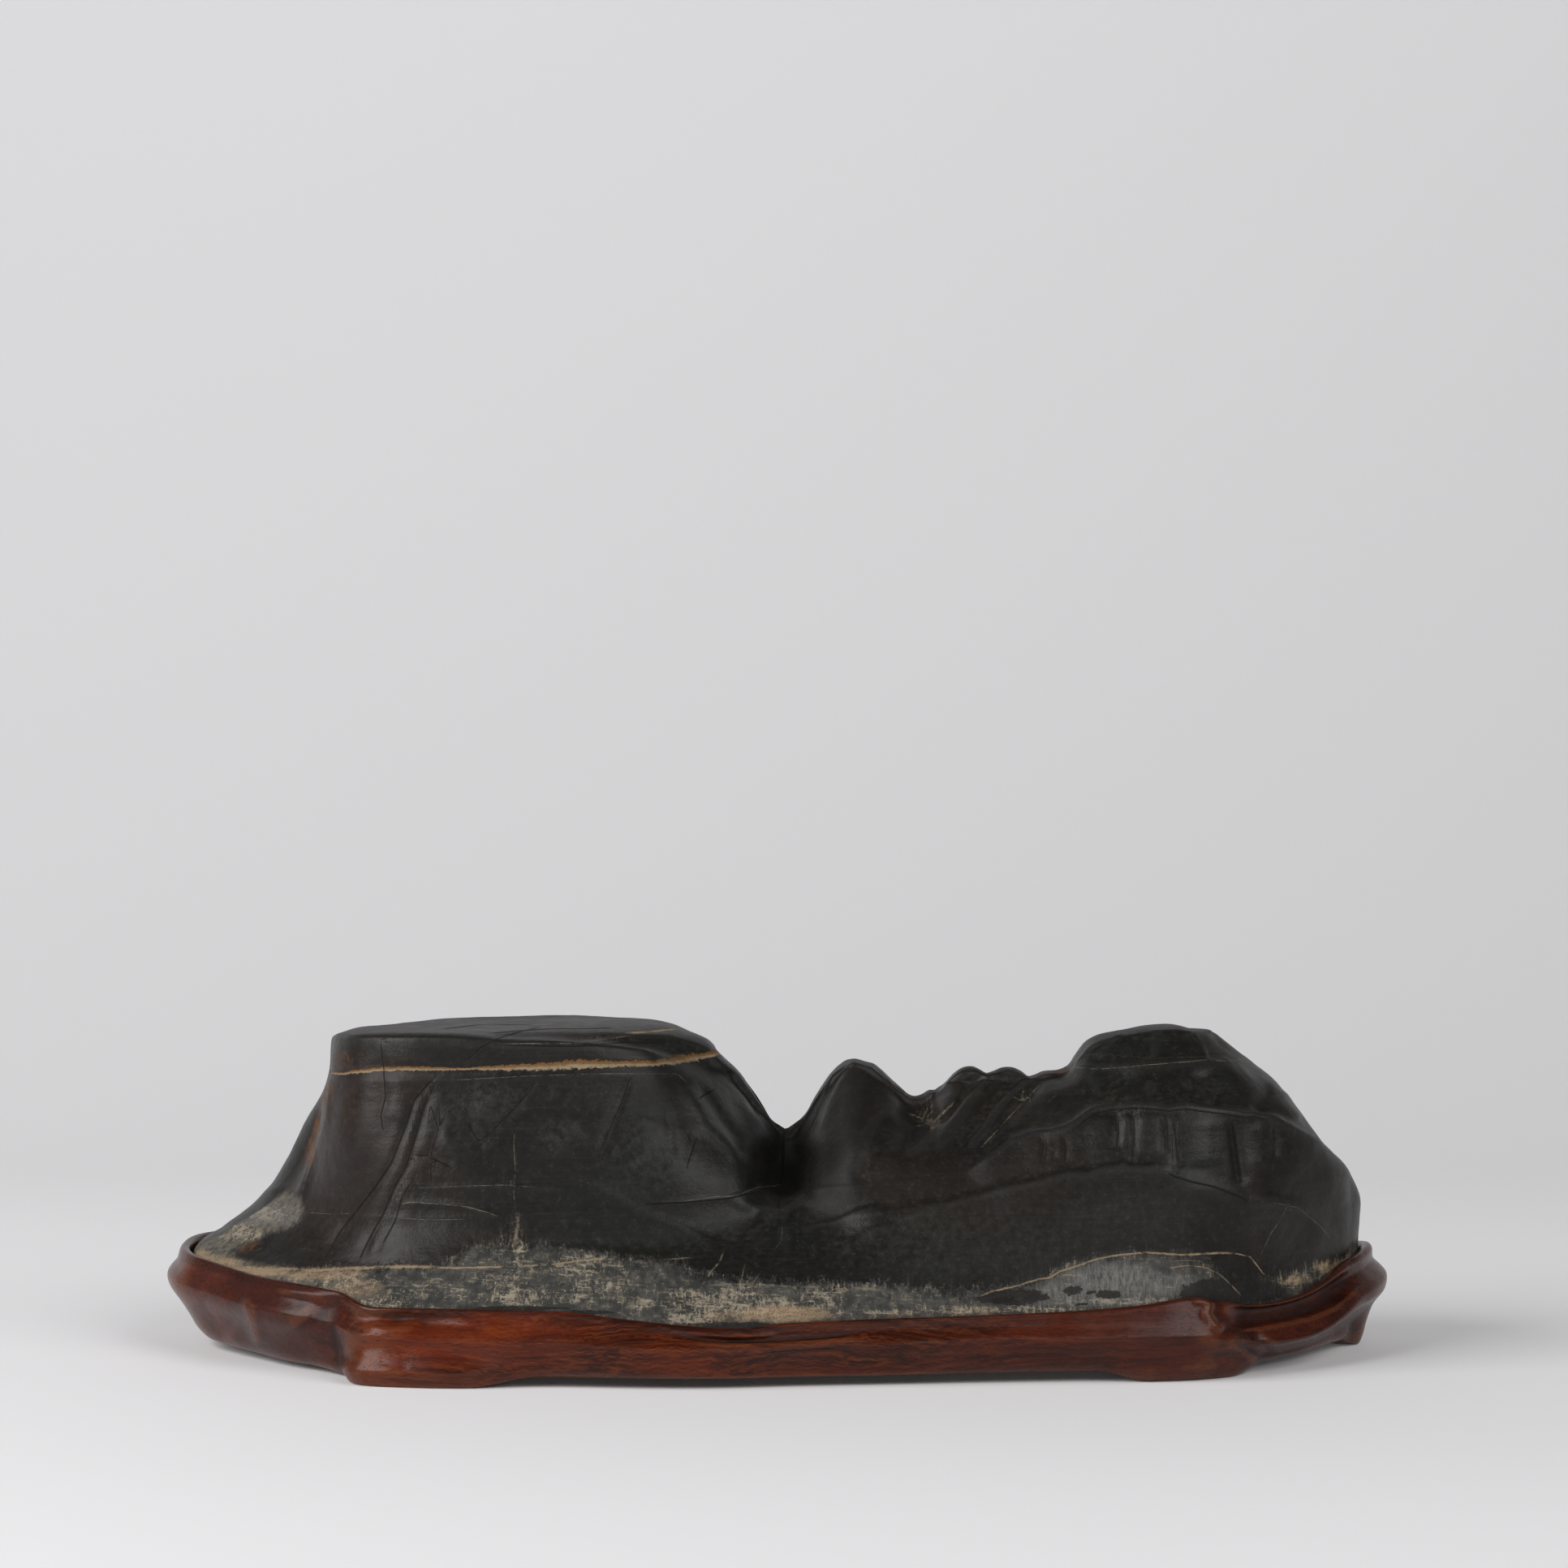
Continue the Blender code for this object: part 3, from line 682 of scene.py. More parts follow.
# The middle of the apron.
APRON: tuple[Point3, ...] = (
    (-211, 29, 43), (-203, 4, 43), (-188, -16, 41), (-172, -33, 40), (-152, -48, 40), (-125, -63, 38),
    (-95, -69, 37), (-60, -71, 36), (-25, -70, 34), (0, -67, 35), (30, -65, 36), (70, -63, 38),
    (110, -61, 42), (140, -59, 45), (160, -51, 43), (180, -35, 43), (197, -15, 47), (209, 4, 51),
    (216, 20, 52), (212, 38, 50), (199, 52, 48), (170, 58, 45), (120, 60, 44), (60, 62, 42), (0, 67, 42),
    (-60, 75, 43), (-120, 79, 45), (-172, 75, 48), (-199, 62, 47), (-208, 46, 44),
)
# The foot of the steep faces. It comes up to the lip of the gorge at the middle of the front.
CLIFF_FOOT: tuple[Point3, ...] = (
    (-195.5, 30, 56), (-187, 8, 56), (-173, -14, 56), (-160, -31, 55), (-140, -49, 54), (-110, -56, 51),
    (-70, -58, 49), (-36, -56, 48), (-15, -50, 50), (-2, -44, 55.5), (12, -48, 52), (35, -54, 50),
    (70, -56, 54), (105, -56, 62), (140, -56, 66), (165, -48, 63), (187, -30, 63), (202, -9, 64),
    (211, 12, 64), (212, 28, 62), (204, 44, 60), (170, 52, 58), (120, 54, 57), (60, 54, 54), (5, 52, 50),
    (-40, 62, 54), (-90, 70, 59), (-130, 73, 61), (-166, 68, 61), (-189, 53, 58),
)
# Half way up the steep faces, and along the floor of the gorge.
FACE: tuple[Point3, ...] = (
    (-181, 31, 81), (-173, 7, 81), (-166, -18, 80), (-152, -38, 80), (-120, -48, 80), (-80, -50, 78),
    (-42, -48, 76), (-18, -38, 73), (-6, -26, 66), (0, -16, 63), (6, -27, 66), (14, -34, 71), (26, -38, 77),
    (45, -38, 75), (70, -38, 77), (100, -43, 83), (140, -49, 88), (165, -42, 86), (187, -23, 84),
    (194, -3, 80), (200, 14, 77), (198, 30, 75), (190, 41, 74), (160, 45, 76), (120, 43, 78), (80, 38, 78),
    (45, 35, 76), (22, 36, 74), (1, 36, 63), (-18, 40, 75), (-45, 53, 84), (-90, 63, 89), (-130, 65, 90),
    (-160, 60, 88), (-175, 47, 85),
)
# The brow, under the top layer of each mass.
BROW: tuple[Point3, ...] = (
    (-171, 28, 99), (-168, 8, 101), (-165, -13, 103), (-153, -31, 104), (-120, -42, 105), (-80, -43, 106),
    (-50, -37, 105), (-32, -22, 101), (-14, -6, 88), (-5, 0, 78), (1, 3, 73), (7, 0, 77), (15, -6, 90),
    (26, -11, 98), (38, -10, 92), (48, -8, 86), (62, -10, 95), (90, -14, 95), (115, -26, 102),
    (140, -33, 106), (160, -29, 105), (173, -17, 102), (181, 0, 100), (182.5, 14, 98), (173, 27, 98),
    (150, 31, 100), (115, 27, 98), (85, 21, 94), (48, 22, 86), (27, 22, 96), (12, 22, 84), (1, 22, 74),
    (-14, 26, 86), (-36, 40, 103), (-75, 55, 109), (-120, 58, 110), (-150, 54, 108), (-166, 43, 104),
)
# The edge of each top.
EDGE: tuple[Point3, ...] = (
    (-165, 26, 115.6), (-163, 8, 117.6), (-159, -10, 118.4), (-148, -25, 119.2), (-120, -34, 119.6),
    (-102, -35, 118.6), (-80, -34, 117.8), (-53, -26, 115), (-38, -11, 111), (-18, 3, 97), (-6, 7, 85),
    (1, 8.5, 78.5), (8, 6, 85), (16, 1, 97), (26, -3, 104.5), (36, -2, 99), (48, 0, 90.5), (62, 0, 98.5),
    (88, -2, 100), (100, -4, 101), (113, -11, 111), (140, -17, 117.8), (152, -12, 118.2), (158, -3, 117.4),
    (159.5, 8, 117), (158, 17, 116), (147, 21, 116), (116, 17, 112), (100, 14, 101), (88, 13, 100),
    (62, 13, 98.5), (48, 13, 90.5), (27, 14, 104), (14, 15, 93), (1, 14, 79), (-16, 19, 95), (-43, 35, 118),
    (-58, 44, 120), (-80, 50, 121), (-120, 52, 120), (-146, 48, 117.8), (-159, 38, 115),
)
# The height of the spine's own line, as (x, z): flat top, gorge, peak, ridge and dome.
CREST: tuple[Point2, ...] = (
    (-130, 119.3), (-100, 120.2), (-70, 120.8), (-52, 120.6), (-42, 119.4), (-35, 117.2), (-28, 114.2),
    (-23, 108.4), (-17, 102.8), (-13, 97.6), (-8, 90.6), (-4.5, 84.8), (-1.4, 82.6), (0.6, 81.4),
    (2.4, 82.4), (5, 84.2), (8, 87.2), (11, 92.4), (14, 97), (17.2, 101.8), (20.8, 105.4), (23.4, 107),
    (27, 107.4), (30, 106.5), (33.2, 105.6), (35.8, 103.6), (39.8, 99.8), (43.6, 96.5), (46.4, 94.2),
    (48.4, 93.6), (51, 94.2), (54, 96), (56.4, 95.8), (59, 97.6), (62.6, 101.6), (66.4, 104.4),
    (70.4, 104.8), (73, 103.4), (75, 101.8), (77.4, 102.8), (80.4, 104.2), (84.4, 104.4), (88, 103),
    (91, 101), (93.4, 101.8), (96, 103), (101, 103.5), (105.8, 105), (108, 108.8), (112.4, 114.4),
    (118, 117), (126.6, 118.6), (133, 119.8), (142, 120.6), (150, 119),
)
# The relief of the front, in the view.
FRONT_RELIEF: tuple[Stroke, ...] = (
    # The left mass's brim, and the corner between its front and its left end.
    Stroke(Form.ROUND, 2.4, 0.5, ((416, 1280), (450, 1276), (500, 1276), (548, 1277), (590, 1281),
        (640, 1286), (712, 1287)), 0.1),
    Stroke(Form.ROUND, 2.0, 1.1, ((406, 1319), (404, 1345), (400, 1380), (389, 1413), (377, 1450),
        (368, 1473), (350, 1490))),
    Stroke(Form.ROUND, 2.7, -0.6, ((396, 1350), (390, 1380), (382, 1410), (372, 1436), (360, 1458),
        (346, 1478))),
    # The glossy panels beside it and the long creases that run down to the apron.
    Stroke(Form.ROUND, 1.6, -0.3, ((469, 1282), (473, 1324), (475, 1352), (469, 1375), (472, 1397),
        (466, 1425))),
    Stroke(Form.ROUND, 4.2, 0.5, ((448, 1300), (450, 1340), (446, 1390), (434, 1440))),
    Stroke(Form.ROUND, 3.3, 0.4, ((488, 1322), (490, 1350), (486, 1385))),
    Stroke(Form.ROUND, 1.8, -0.6, ((538, 1326), (524, 1340), (510, 1357), (501, 1385), (494, 1403),
        (482, 1434), (463, 1462), (440, 1492), (417, 1520), (400, 1553)), 0.1),
    Stroke(Form.ROUND, 1.8, -0.6, ((538, 1333), (524, 1361), (515, 1392), (508, 1415), (501, 1438),
        (487, 1462), (473, 1494), (456, 1525), (442, 1555)), 0.1),
    Stroke(Form.ROUND, 1.6, -0.38, ((494, 1481), (483, 1501), (472, 1523), (461, 1549))),
    Stroke(Form.ROUND, 1.6, -0.38, ((508, 1422), (528, 1424), (545, 1431), (562, 1440))),
    Stroke(Form.ROUND, 1.6, -0.34, ((533, 1404), (542, 1422), (559, 1437))),
    Stroke(Form.ROUND, 2.1, 0.5, ((552, 1366), (546, 1392), (556, 1420))),
    Stroke(Form.ROUND, 1.6, -0.3, ((551, 1369), (540, 1398), (531, 1422), (530, 1462))),
    Stroke(Form.ROUND, 1.5, -0.6, ((575, 1378), (583, 1397), (590, 1408), (604, 1414))),
    Stroke(Form.ROUND, 1.6, -0.34, ((590, 1406), (609, 1392), (622, 1378), (636, 1362), (653, 1337),
        (664, 1330))),
    Stroke(Form.ROUND, 1.5, -0.6, ((776, 1326), (768, 1348), (756, 1376), (745, 1398), (738, 1424))),
    Stroke(Form.ROUND, 1.5, -0.45, ((821, 1362), (825, 1388), (828, 1410), (832, 1428))),
    Stroke(Form.ROUND, 1.6, -0.3, ((857, 1392), (853, 1410), (846, 1432))),
    Stroke(Form.ROUND, 6.6, 0.7, ((610, 1345), (606, 1365), (600, 1385))),
    Stroke(Form.ROUND, 7.8, 0.6, ((706, 1385), (694, 1400), (680, 1412))),
    Stroke(Form.ROUND, 7.8, 0.6, ((800, 1372), (790, 1410), (800, 1440))),
    # The ribs at the left mass's right corner, which turn into the gorge.
    Stroke(Form.ROUND, 2.7, 1.2, ((838, 1330), (853, 1358), (870, 1386), (897, 1412), (912, 1440))),
    Stroke(Form.ROUND, 2.1, -1.1, ((856, 1326), (874, 1352), (890, 1376), (910, 1402), (922, 1440))),
    Stroke(Form.ROUND, 3, 1.3, ((872, 1306), (893, 1330), (912, 1352), (930, 1382), (940, 1420))),
    Stroke(Form.ROUND, 1.5, -0.7, ((893, 1316), (908, 1336), (922, 1354), (938, 1380))),
    Stroke(Form.ROUND, 1.6, -0.3, ((880, 1335), (868, 1349), (860, 1356))),
    # The bedding lines on the left mass.
    Stroke(Form.LEDGE, 2.7, 0.45, ((400, 1330), (470, 1331), (560, 1328), (690, 1325), (800, 1322),
        (850, 1318))),
    Stroke(Form.LEDGE, 2.1, 0.4, ((514, 1465), (562, 1461), (618, 1461), (663, 1464), (715, 1463))),
    Stroke(Form.LEDGE, 1.8, 0.55, ((489, 1481), (534, 1481), (570, 1484), (601, 1495), (633, 1507))),
    Stroke(Form.LEDGE, 2.1, 0.5, ((790, 1482), (841, 1480), (897, 1475), (914, 1471), (953, 1463),
        (963, 1459))),
    Stroke(Form.LEDGE, 1.8, 0.3, ((633, 1496), (700, 1494), (773, 1491))),
    Stroke(Form.LEDGE, 1.5, 0.25, ((376, 1494), (438, 1494), (475, 1499), (522, 1500))),
    # The fold of the apron below it, and the lip of the gorge.
    Stroke(Form.LEDGE, 9.0, 0.7, ((700, 1430), (740, 1460), (773, 1485), (801, 1499), (835, 1511),
        (874, 1530), (902, 1536), (933, 1534), (953, 1525), (958, 1502))),
    Stroke(Form.ROUND, 2.1, 1.0, ((897, 1474), (925, 1488), (953, 1497), (967, 1494), (981, 1483),
        (1000, 1470))),
    Stroke(Form.ROUND, 1.8, -1.2, ((966, 1396), (965, 1420), (963, 1450), (960, 1484)), 0.3),
    Stroke(Form.ROUND, 9.0, -4.0, ((966, 1402), (965, 1430), (962, 1462), (961, 1480)), 0.35),
    # The peak: the grooves on both its sides, and its spur with the gully beside it.
    Stroke(Form.ROUND, 1.6, -0.75, ((1050, 1308), (1035, 1319), (1021, 1345), (1011, 1369),
        (1003, 1398)), 0.1),
    Stroke(Form.ROUND, 2.0, 0.7, ((1042, 1322), (1031, 1345), (1020, 1370), (1010, 1396)), 0.2),
    Stroke(Form.ROUND, 1.6, -0.38, ((1073, 1312), (1083, 1319), (1095, 1333), (1114, 1348)), 0.2),
    Stroke(Form.ROUND, 3.6, 0.9, ((1114, 1352), (1100, 1362), (1086, 1379), (1076, 1393), (1069, 1410),
        (1059, 1434)), 0.2),
    Stroke(Form.ROUND, 3.6, -1.0, ((1100, 1376), (1086, 1396), (1073, 1420), (1062, 1442),
        (1050, 1462)), 0.2),
    # The ridge: knobs with gullies between them, which run down to the left.
    Stroke(Form.ROUND, 2.4, -1.0, ((1140, 1352), (1150, 1372), (1146, 1386), (1128, 1402),
        (1112, 1428)), 0.2),
    Stroke(Form.ROUND, 1.6, -1.4, ((1215, 1321), (1197, 1338), (1186, 1352), (1172, 1369),
        (1153, 1386)), 0.15),
    Stroke(Form.ROUND, 3.0, 0.9, ((1200, 1316), (1182, 1330), (1166, 1350)), 0.3),
    Stroke(Form.ROUND, 3.0, 1.2, ((1232, 1318), (1210, 1333), (1196, 1352), (1184, 1372), (1168, 1396),
        (1146, 1420)), 0.15),
    Stroke(Form.ROUND, 1.8, -1.2, ((1265, 1326), (1237, 1343), (1215, 1367), (1203, 1386), (1191, 1400),
        (1176, 1418)), 0.15),
    Stroke(Form.ROUND, 2.4, 0.9, ((1270, 1326), (1246, 1346), (1226, 1370), (1210, 1394),
        (1190, 1418)), 0.15),
    Stroke(Form.ROUND, 1.6, -0.75, ((1292, 1323), (1273, 1345), (1256, 1364), (1239, 1381), (1222, 1398),
        (1206, 1417)), 0.15),
    Stroke(Form.ROUND, 4.5, 0.9, ((1316, 1322), (1290, 1348), (1262, 1376), (1236, 1400)), 0.2),
    Stroke(Form.ROUND, 5.4, -0.6, ((1345, 1328), (1322, 1352), (1292, 1378)), 0.3),
    # The dome: the facets of its cap and the shelf that the cap stands on.
    Stroke(Form.LEDGE, 2.4, 0.9, ((1318, 1315), (1350, 1313), (1387, 1312), (1455, 1309), (1500, 1307),
        (1546, 1304)), 0.08),
    Stroke(Form.ROUND, 2.1, 0.8, ((1386, 1272), (1372, 1284), (1359, 1297), (1350, 1309))),
    Stroke(Form.ROUND, 1.8, -0.5, ((1404, 1272), (1398, 1288), (1380, 1304))),
    Stroke(Form.ROUND, 1.8, 0.6, ((1428, 1266), (1424, 1284), (1421, 1306))),
    Stroke(Form.ROUND, 2.4, -0.5, ((1450, 1268), (1448, 1284), (1452, 1302))),
    Stroke(Form.ROUND, 1.8, 0.6, ((1469, 1269), (1480, 1290), (1486, 1304))),
    Stroke(Form.ROUND, 2.1, -0.6, ((1506, 1280), (1496, 1292), (1488, 1303))),
    Stroke(Form.ROUND, 3.6, -0.6, ((1395, 1322), (1372, 1338), (1358, 1352))),
    Stroke(Form.ROUND, 2.7, 0.6, ((1420, 1330), (1416, 1348), (1414, 1360))),
    Stroke(Form.ROUND, 4.2, -0.8, ((1480, 1318), (1488, 1336), (1502, 1358))),
    Stroke(Form.ROUND, 2.4, -1.3, ((1570, 1336), (1560, 1350), (1551, 1362), (1556, 1378))),
    Stroke(Form.ROUND, 3.6, 1.0, ((1574, 1346), (1586, 1362), (1600, 1384))),
    # Its upper fold.
    Stroke(Form.LEDGE, 9.6, 2.4, ((1186, 1451), (1210, 1436), (1232, 1422), (1251, 1408), (1278, 1399),
        (1294, 1398), (1311, 1394), (1325, 1387), (1336, 1379), (1350, 1370), (1370, 1366), (1398, 1364),
        (1420, 1365), (1440, 1368), (1460, 1365), (1490, 1369), (1513, 1372), (1532, 1376), (1546, 1375),
        (1566, 1380), (1591, 1393), (1611, 1405), (1628, 1418), (1644, 1435)), 0.08),
    Stroke(Form.ROUND, 1.6, 0.3, ((1232, 1424), (1251, 1410), (1278, 1401), (1311, 1396), (1325, 1389),
        (1336, 1381), (1350, 1372), (1370, 1368), (1398, 1366), (1420, 1367), (1440, 1370), (1460, 1367),
        (1490, 1371), (1513, 1374), (1546, 1377), (1566, 1382), (1591, 1395), (1611, 1407)), 0.1),
    # The flutes under it.
    Stroke(Form.ROUND, 1.6, -0.45, ((1290, 1402), (1289, 1420), (1287, 1438))),
    Stroke(Form.ROUND, 1.6, -0.38, ((1299, 1402), (1299, 1418), (1297, 1434))),
    Stroke(Form.ROUND, 1.6, -0.38, ((1314, 1398), (1313, 1416), (1312, 1440))),
    Stroke(Form.ROUND, 4.2, 0.45, ((1356, 1374), (1356, 1400), (1354, 1432))),
    Stroke(Form.ROUND, 1.6, -0.52, ((1378, 1370), (1378, 1395), (1376, 1420)), 0.15),
    Stroke(Form.ROUND, 1.6, 0.38, ((1390, 1376), (1388, 1396), (1384, 1414))),
    Stroke(Form.ROUND, 1.6, -0.45, ((1397, 1368), (1397, 1400), (1395, 1440)), 0.1),
    Stroke(Form.ROUND, 4.2, 0.45, ((1414, 1370), (1413, 1398), (1416, 1430))),
    Stroke(Form.ROUND, 1.6, -0.52, ((1430, 1374), (1433, 1396), (1438, 1424)), 0.1),
    Stroke(Form.ROUND, 1.6, -0.9, ((1443, 1372), (1447, 1396), (1450, 1420), (1453, 1442)), 0.15),
    Stroke(Form.ROUND, 5.4, 0.5, ((1476, 1374), (1478, 1404), (1482, 1440))),
    Stroke(Form.ROUND, 2.4, -1.3, ((1518, 1378), (1522, 1404), (1526, 1434), (1530, 1460)), 0.12),
    Stroke(Form.ROUND, 3.6, 0.5, ((1546, 1382), (1549, 1410), (1552, 1444))),
    Stroke(Form.ROUND, 1.6, -0.8, ((1566, 1384), (1569, 1406), (1570, 1430)), 0.2),
    # Its lower fold, and the softer folds that spread from it over the apron.
    Stroke(Form.LEDGE, 12, 1.3, ((1031, 1508), (1071, 1500), (1123, 1492), (1167, 1487), (1196, 1480),
        (1230, 1471), (1256, 1465), (1287, 1458), (1317, 1450), (1342, 1449), (1362, 1443), (1384, 1440),
        (1412, 1442), (1434, 1443), (1446, 1450), (1468, 1457), (1496, 1463), (1524, 1474), (1544, 1482),
        (1566, 1481), (1591, 1487), (1611, 1496), (1625, 1508)), 0.08),
    Stroke(Form.ROUND, 1.6, 0.22, ((1196, 1482), (1230, 1473), (1256, 1467), (1287, 1460), (1317, 1452),
        (1342, 1451), (1362, 1445), (1384, 1442), (1412, 1444), (1434, 1445)), 0.1),
    Stroke(Form.ROUND, 1.6, -0.38, ((1434, 1443), (1446, 1449), (1468, 1456), (1496, 1462), (1524, 1473),
        (1544, 1481)), 0.1),
    Stroke(Form.LEDGE, 7.2, 0.9, ((976, 1518), (1031, 1507), (1056, 1495), (1093, 1486))),
    Stroke(Form.LEDGE, 12, 0.9, ((1020, 1556), (1031, 1550), (1074, 1523), (1120, 1504), (1166, 1492))),
    Stroke(Form.LEDGE, 2.1, 0.35, ((992, 1464), (1031, 1463), (1062, 1463))),
    Stroke(Form.ROUND, 2.7, 0.7, ((1566, 1481), (1600, 1488), (1621, 1505), (1638, 1529))),
    Stroke(Form.ROUND, 4.8, -0.8, ((1545, 1500), (1552, 1540), (1560, 1575))),
    Stroke(Form.ROUND, 4.2, 0.8, ((1624, 1412), (1640, 1436), (1652, 1462), (1658, 1490))),
    # The cap over the upper vein: cracks and long facets.
    Stroke(Form.ROUND, 1.6, -0.3, ((606, 1284), (590, 1297), (573, 1311))),
    Stroke(Form.ROUND, 2.4, 0.35, ((466, 1276), (470, 1290), (472, 1306))),
    Stroke(Form.ROUND, 1.6, -0.26, ((690, 1300), (740, 1298), (800, 1296), (850, 1300))),
    Stroke(Form.LEDGE, 2.1, 0.5, ((600, 1288), (640, 1286), (712, 1285), (779, 1277), (840, 1274))),
    # The lip of crust over the seat near the right, and the small hollows under the edge at the left.
    Stroke(Form.SHELF, 2.1, 1.0, ((1200, 1604), (1222, 1600), (1240, 1598), (1262, 1598), (1285, 1592))),
    Stroke(Form.ROUND, 1.5, -1.2, ((1222, 1608), (1240, 1607), (1262, 1603))),
)
# The relief of the rear, in the same view, as if the stone were glass.
REAR_RELIEF: tuple[Stroke, ...] = (
    # The layer under the tops, and the folds of the apron.
    Stroke(Form.LEDGE, 10.8, 1.4, ((380, 1330), (470, 1322), (560, 1318), (719, 1316), (880, 1312))),
    Stroke(Form.LEDGE, 9, 2.8, ((290, 1478), (340, 1468), (418, 1461), (500, 1472), (590, 1470), (690, 1458),
        (770, 1478), (850, 1492), (930, 1472))),
    Stroke(Form.LEDGE, 7.8, 1.6, ((330, 1524), (420, 1510), (540, 1516), (650, 1504), (760, 1520),
        (880, 1530), (980, 1524))),
    Stroke(Form.LEDGE, 2.4, 0.5, ((400, 1352), (520, 1346), (640, 1350), (760, 1344), (850, 1340))),
    Stroke(Form.LEDGE, 4.0, 0.6, ((390, 1402), (470, 1410), (560, 1424), (640, 1426), (700, 1440))),
    # The gullies and the ribs of the left mass.
    Stroke(Form.ROUND, 2.7, -2.4, ((566, 1301), (575, 1330), (590, 1360), (582, 1395), (578, 1424),
        (596, 1462))),
    Stroke(Form.ROUND, 2.4, -2.0, ((742, 1301), (735, 1330), (724, 1360), (738, 1396), (752, 1425),
        (744, 1456))),
    Stroke(Form.ROUND, 1.5, -1.2, ((500, 1318), (492, 1350), (478, 1384), (470, 1420), (448, 1466))),
    Stroke(Form.ROUND, 1.5, -1.1, ((662, 1322), (668, 1348), (652, 1380), (640, 1412), (648, 1446))),
    Stroke(Form.ROUND, 1.5, -1.3, ((818, 1322), (822, 1352), (838, 1384), (842, 1420), (862, 1452))),
    Stroke(Form.ROUND, 3.9, 1.8, ((636, 1312), (640, 1340), (652, 1374), (640, 1412), (646, 1450))),
    Stroke(Form.ROUND, 3.6, 1.5, ((430, 1320), (436, 1356), (424, 1400), (404, 1440))),
    Stroke(Form.ROUND, 4.2, 1.6, ((786, 1318), (780, 1350), (790, 1390), (800, 1436))),
    Stroke(Form.ROUND, 1.2, -0.7, ((530, 1336), (536, 1360), (524, 1390), (516, 1414))),
    Stroke(Form.ROUND, 1.2, -0.7, ((700, 1340), (692, 1366), (684, 1390), (694, 1420))),
    # The gorge, the peak and the ridge.
    Stroke(Form.ROUND, 2.4, 1.4, ((905, 1330), (922, 1362), (936, 1392), (948, 1424))),
    Stroke(Form.ROUND, 1.8, -1.2, ((920, 1326), (938, 1360), (950, 1392), (958, 1430))),
    Stroke(Form.ROUND, 2.7, 1.2, ((1060, 1318), (1048, 1352), (1030, 1388), (1020, 1430))),
    Stroke(Form.ROUND, 3, -2.2, ((1116, 1350), (1126, 1378), (1120, 1408), (1130, 1440), (1136, 1470))),
    Stroke(Form.ROUND, 2.1, -2.2, ((1214, 1322), (1220, 1350), (1226, 1380), (1222, 1410), (1236, 1446))),
    Stroke(Form.ROUND, 2.1, -2.0, ((1266, 1328), (1278, 1356), (1284, 1384), (1280, 1412), (1296, 1448))),
    Stroke(Form.ROUND, 2.7, 1.7, ((1186, 1320), (1178, 1350), (1172, 1386), (1180, 1420), (1176, 1450))),
    Stroke(Form.ROUND, 2.7, 1.6, ((1240, 1320), (1250, 1352), (1256, 1388), (1252, 1420), (1262, 1450))),
    Stroke(Form.ROUND, 1.5, -1.0, ((1160, 1350), (1156, 1380), (1150, 1404), (1156, 1436))),
    Stroke(Form.ROUND, 1.8, -1.2, ((1310, 1330), (1322, 1356), (1330, 1384), (1326, 1410))),
    # The dome: its cap, its folds and its flutes.
    Stroke(Form.LEDGE, 2.7, 1.0, ((1316, 1314), (1380, 1312), (1455, 1308), (1540, 1304)), 0.08),
    Stroke(Form.ROUND, 1.8, 0.7, ((1362, 1278), (1356, 1292), (1350, 1306))),
    Stroke(Form.ROUND, 1.8, -0.6, ((1430, 1268), (1436, 1286), (1432, 1304))),
    Stroke(Form.ROUND, 2.1, 0.7, ((1490, 1270), (1498, 1288), (1510, 1302))),
    Stroke(Form.LEDGE, 10.2, 3.0, ((1010, 1470), (1060, 1456), (1120, 1446), (1180, 1436), (1240, 1424),
        (1310, 1404), (1370, 1388), (1430, 1384), (1480, 1390), (1540, 1398), (1600, 1420)), 0.08),
    Stroke(Form.ROUND, 1.5, 0.7, ((1240, 1426), (1310, 1406), (1370, 1390), (1430, 1386), (1480, 1392),
        (1540, 1400)), 0.1),
    Stroke(Form.ROUND, 2.2, -0.9, ((1352, 1396), (1362, 1412), (1378, 1428), (1384, 1446)), 0.3),
    Stroke(Form.ROUND, 2.4, -1.2, ((1420, 1388), (1410, 1414), (1398, 1434), (1396, 1462)), 0.25),
    Stroke(Form.ROUND, 3.0, -1.0, ((1496, 1396), (1484, 1420), (1482, 1446), (1466, 1470)), 0.3),
    Stroke(Form.ROUND, 3.6, 0.8, ((1390, 1394), (1388, 1426), (1392, 1460))),
    Stroke(Form.ROUND, 4.2, 0.9, ((1440, 1392), (1442, 1428), (1440, 1466))),
    Stroke(Form.ROUND, 3.6, 0.8, ((1494, 1396), (1496, 1430), (1494, 1466))),
    Stroke(Form.LEDGE, 10.8, 2.0, ((1040, 1520), (1110, 1506), (1190, 1500), (1270, 1490), (1350, 1484),
        (1430, 1488), (1510, 1500), (1590, 1516)), 0.08),
    Stroke(Form.ROUND, 4.2, 0.8, ((1560, 1360), (1580, 1400), (1600, 1440))),
)

# The upper seam follows the bedding: (x, z, half of its thickness), round the flat top.
TOP_SEAM: tuple[Point3, ...] = (
    (-175, 103.2, 0.3), (-166, 103.6, 0.35), (-160.6, 104.2, 0.45), (-154.6, 105.7, 0.6), (-145, 107, 0.7),
    (-132, 107.5, 0.8), (-115, 107.6, 0.4),
    (-105, 107.9, 0.7), (-85, 108.6, 1.2), (-75, 109, 1.5), (-62, 109.3, 1.1), (-48, 109, 1.0),
    (-40, 109.1, 1.1), (-31, 109.2, 1.2), (-22, 110.4, 0.8),
)
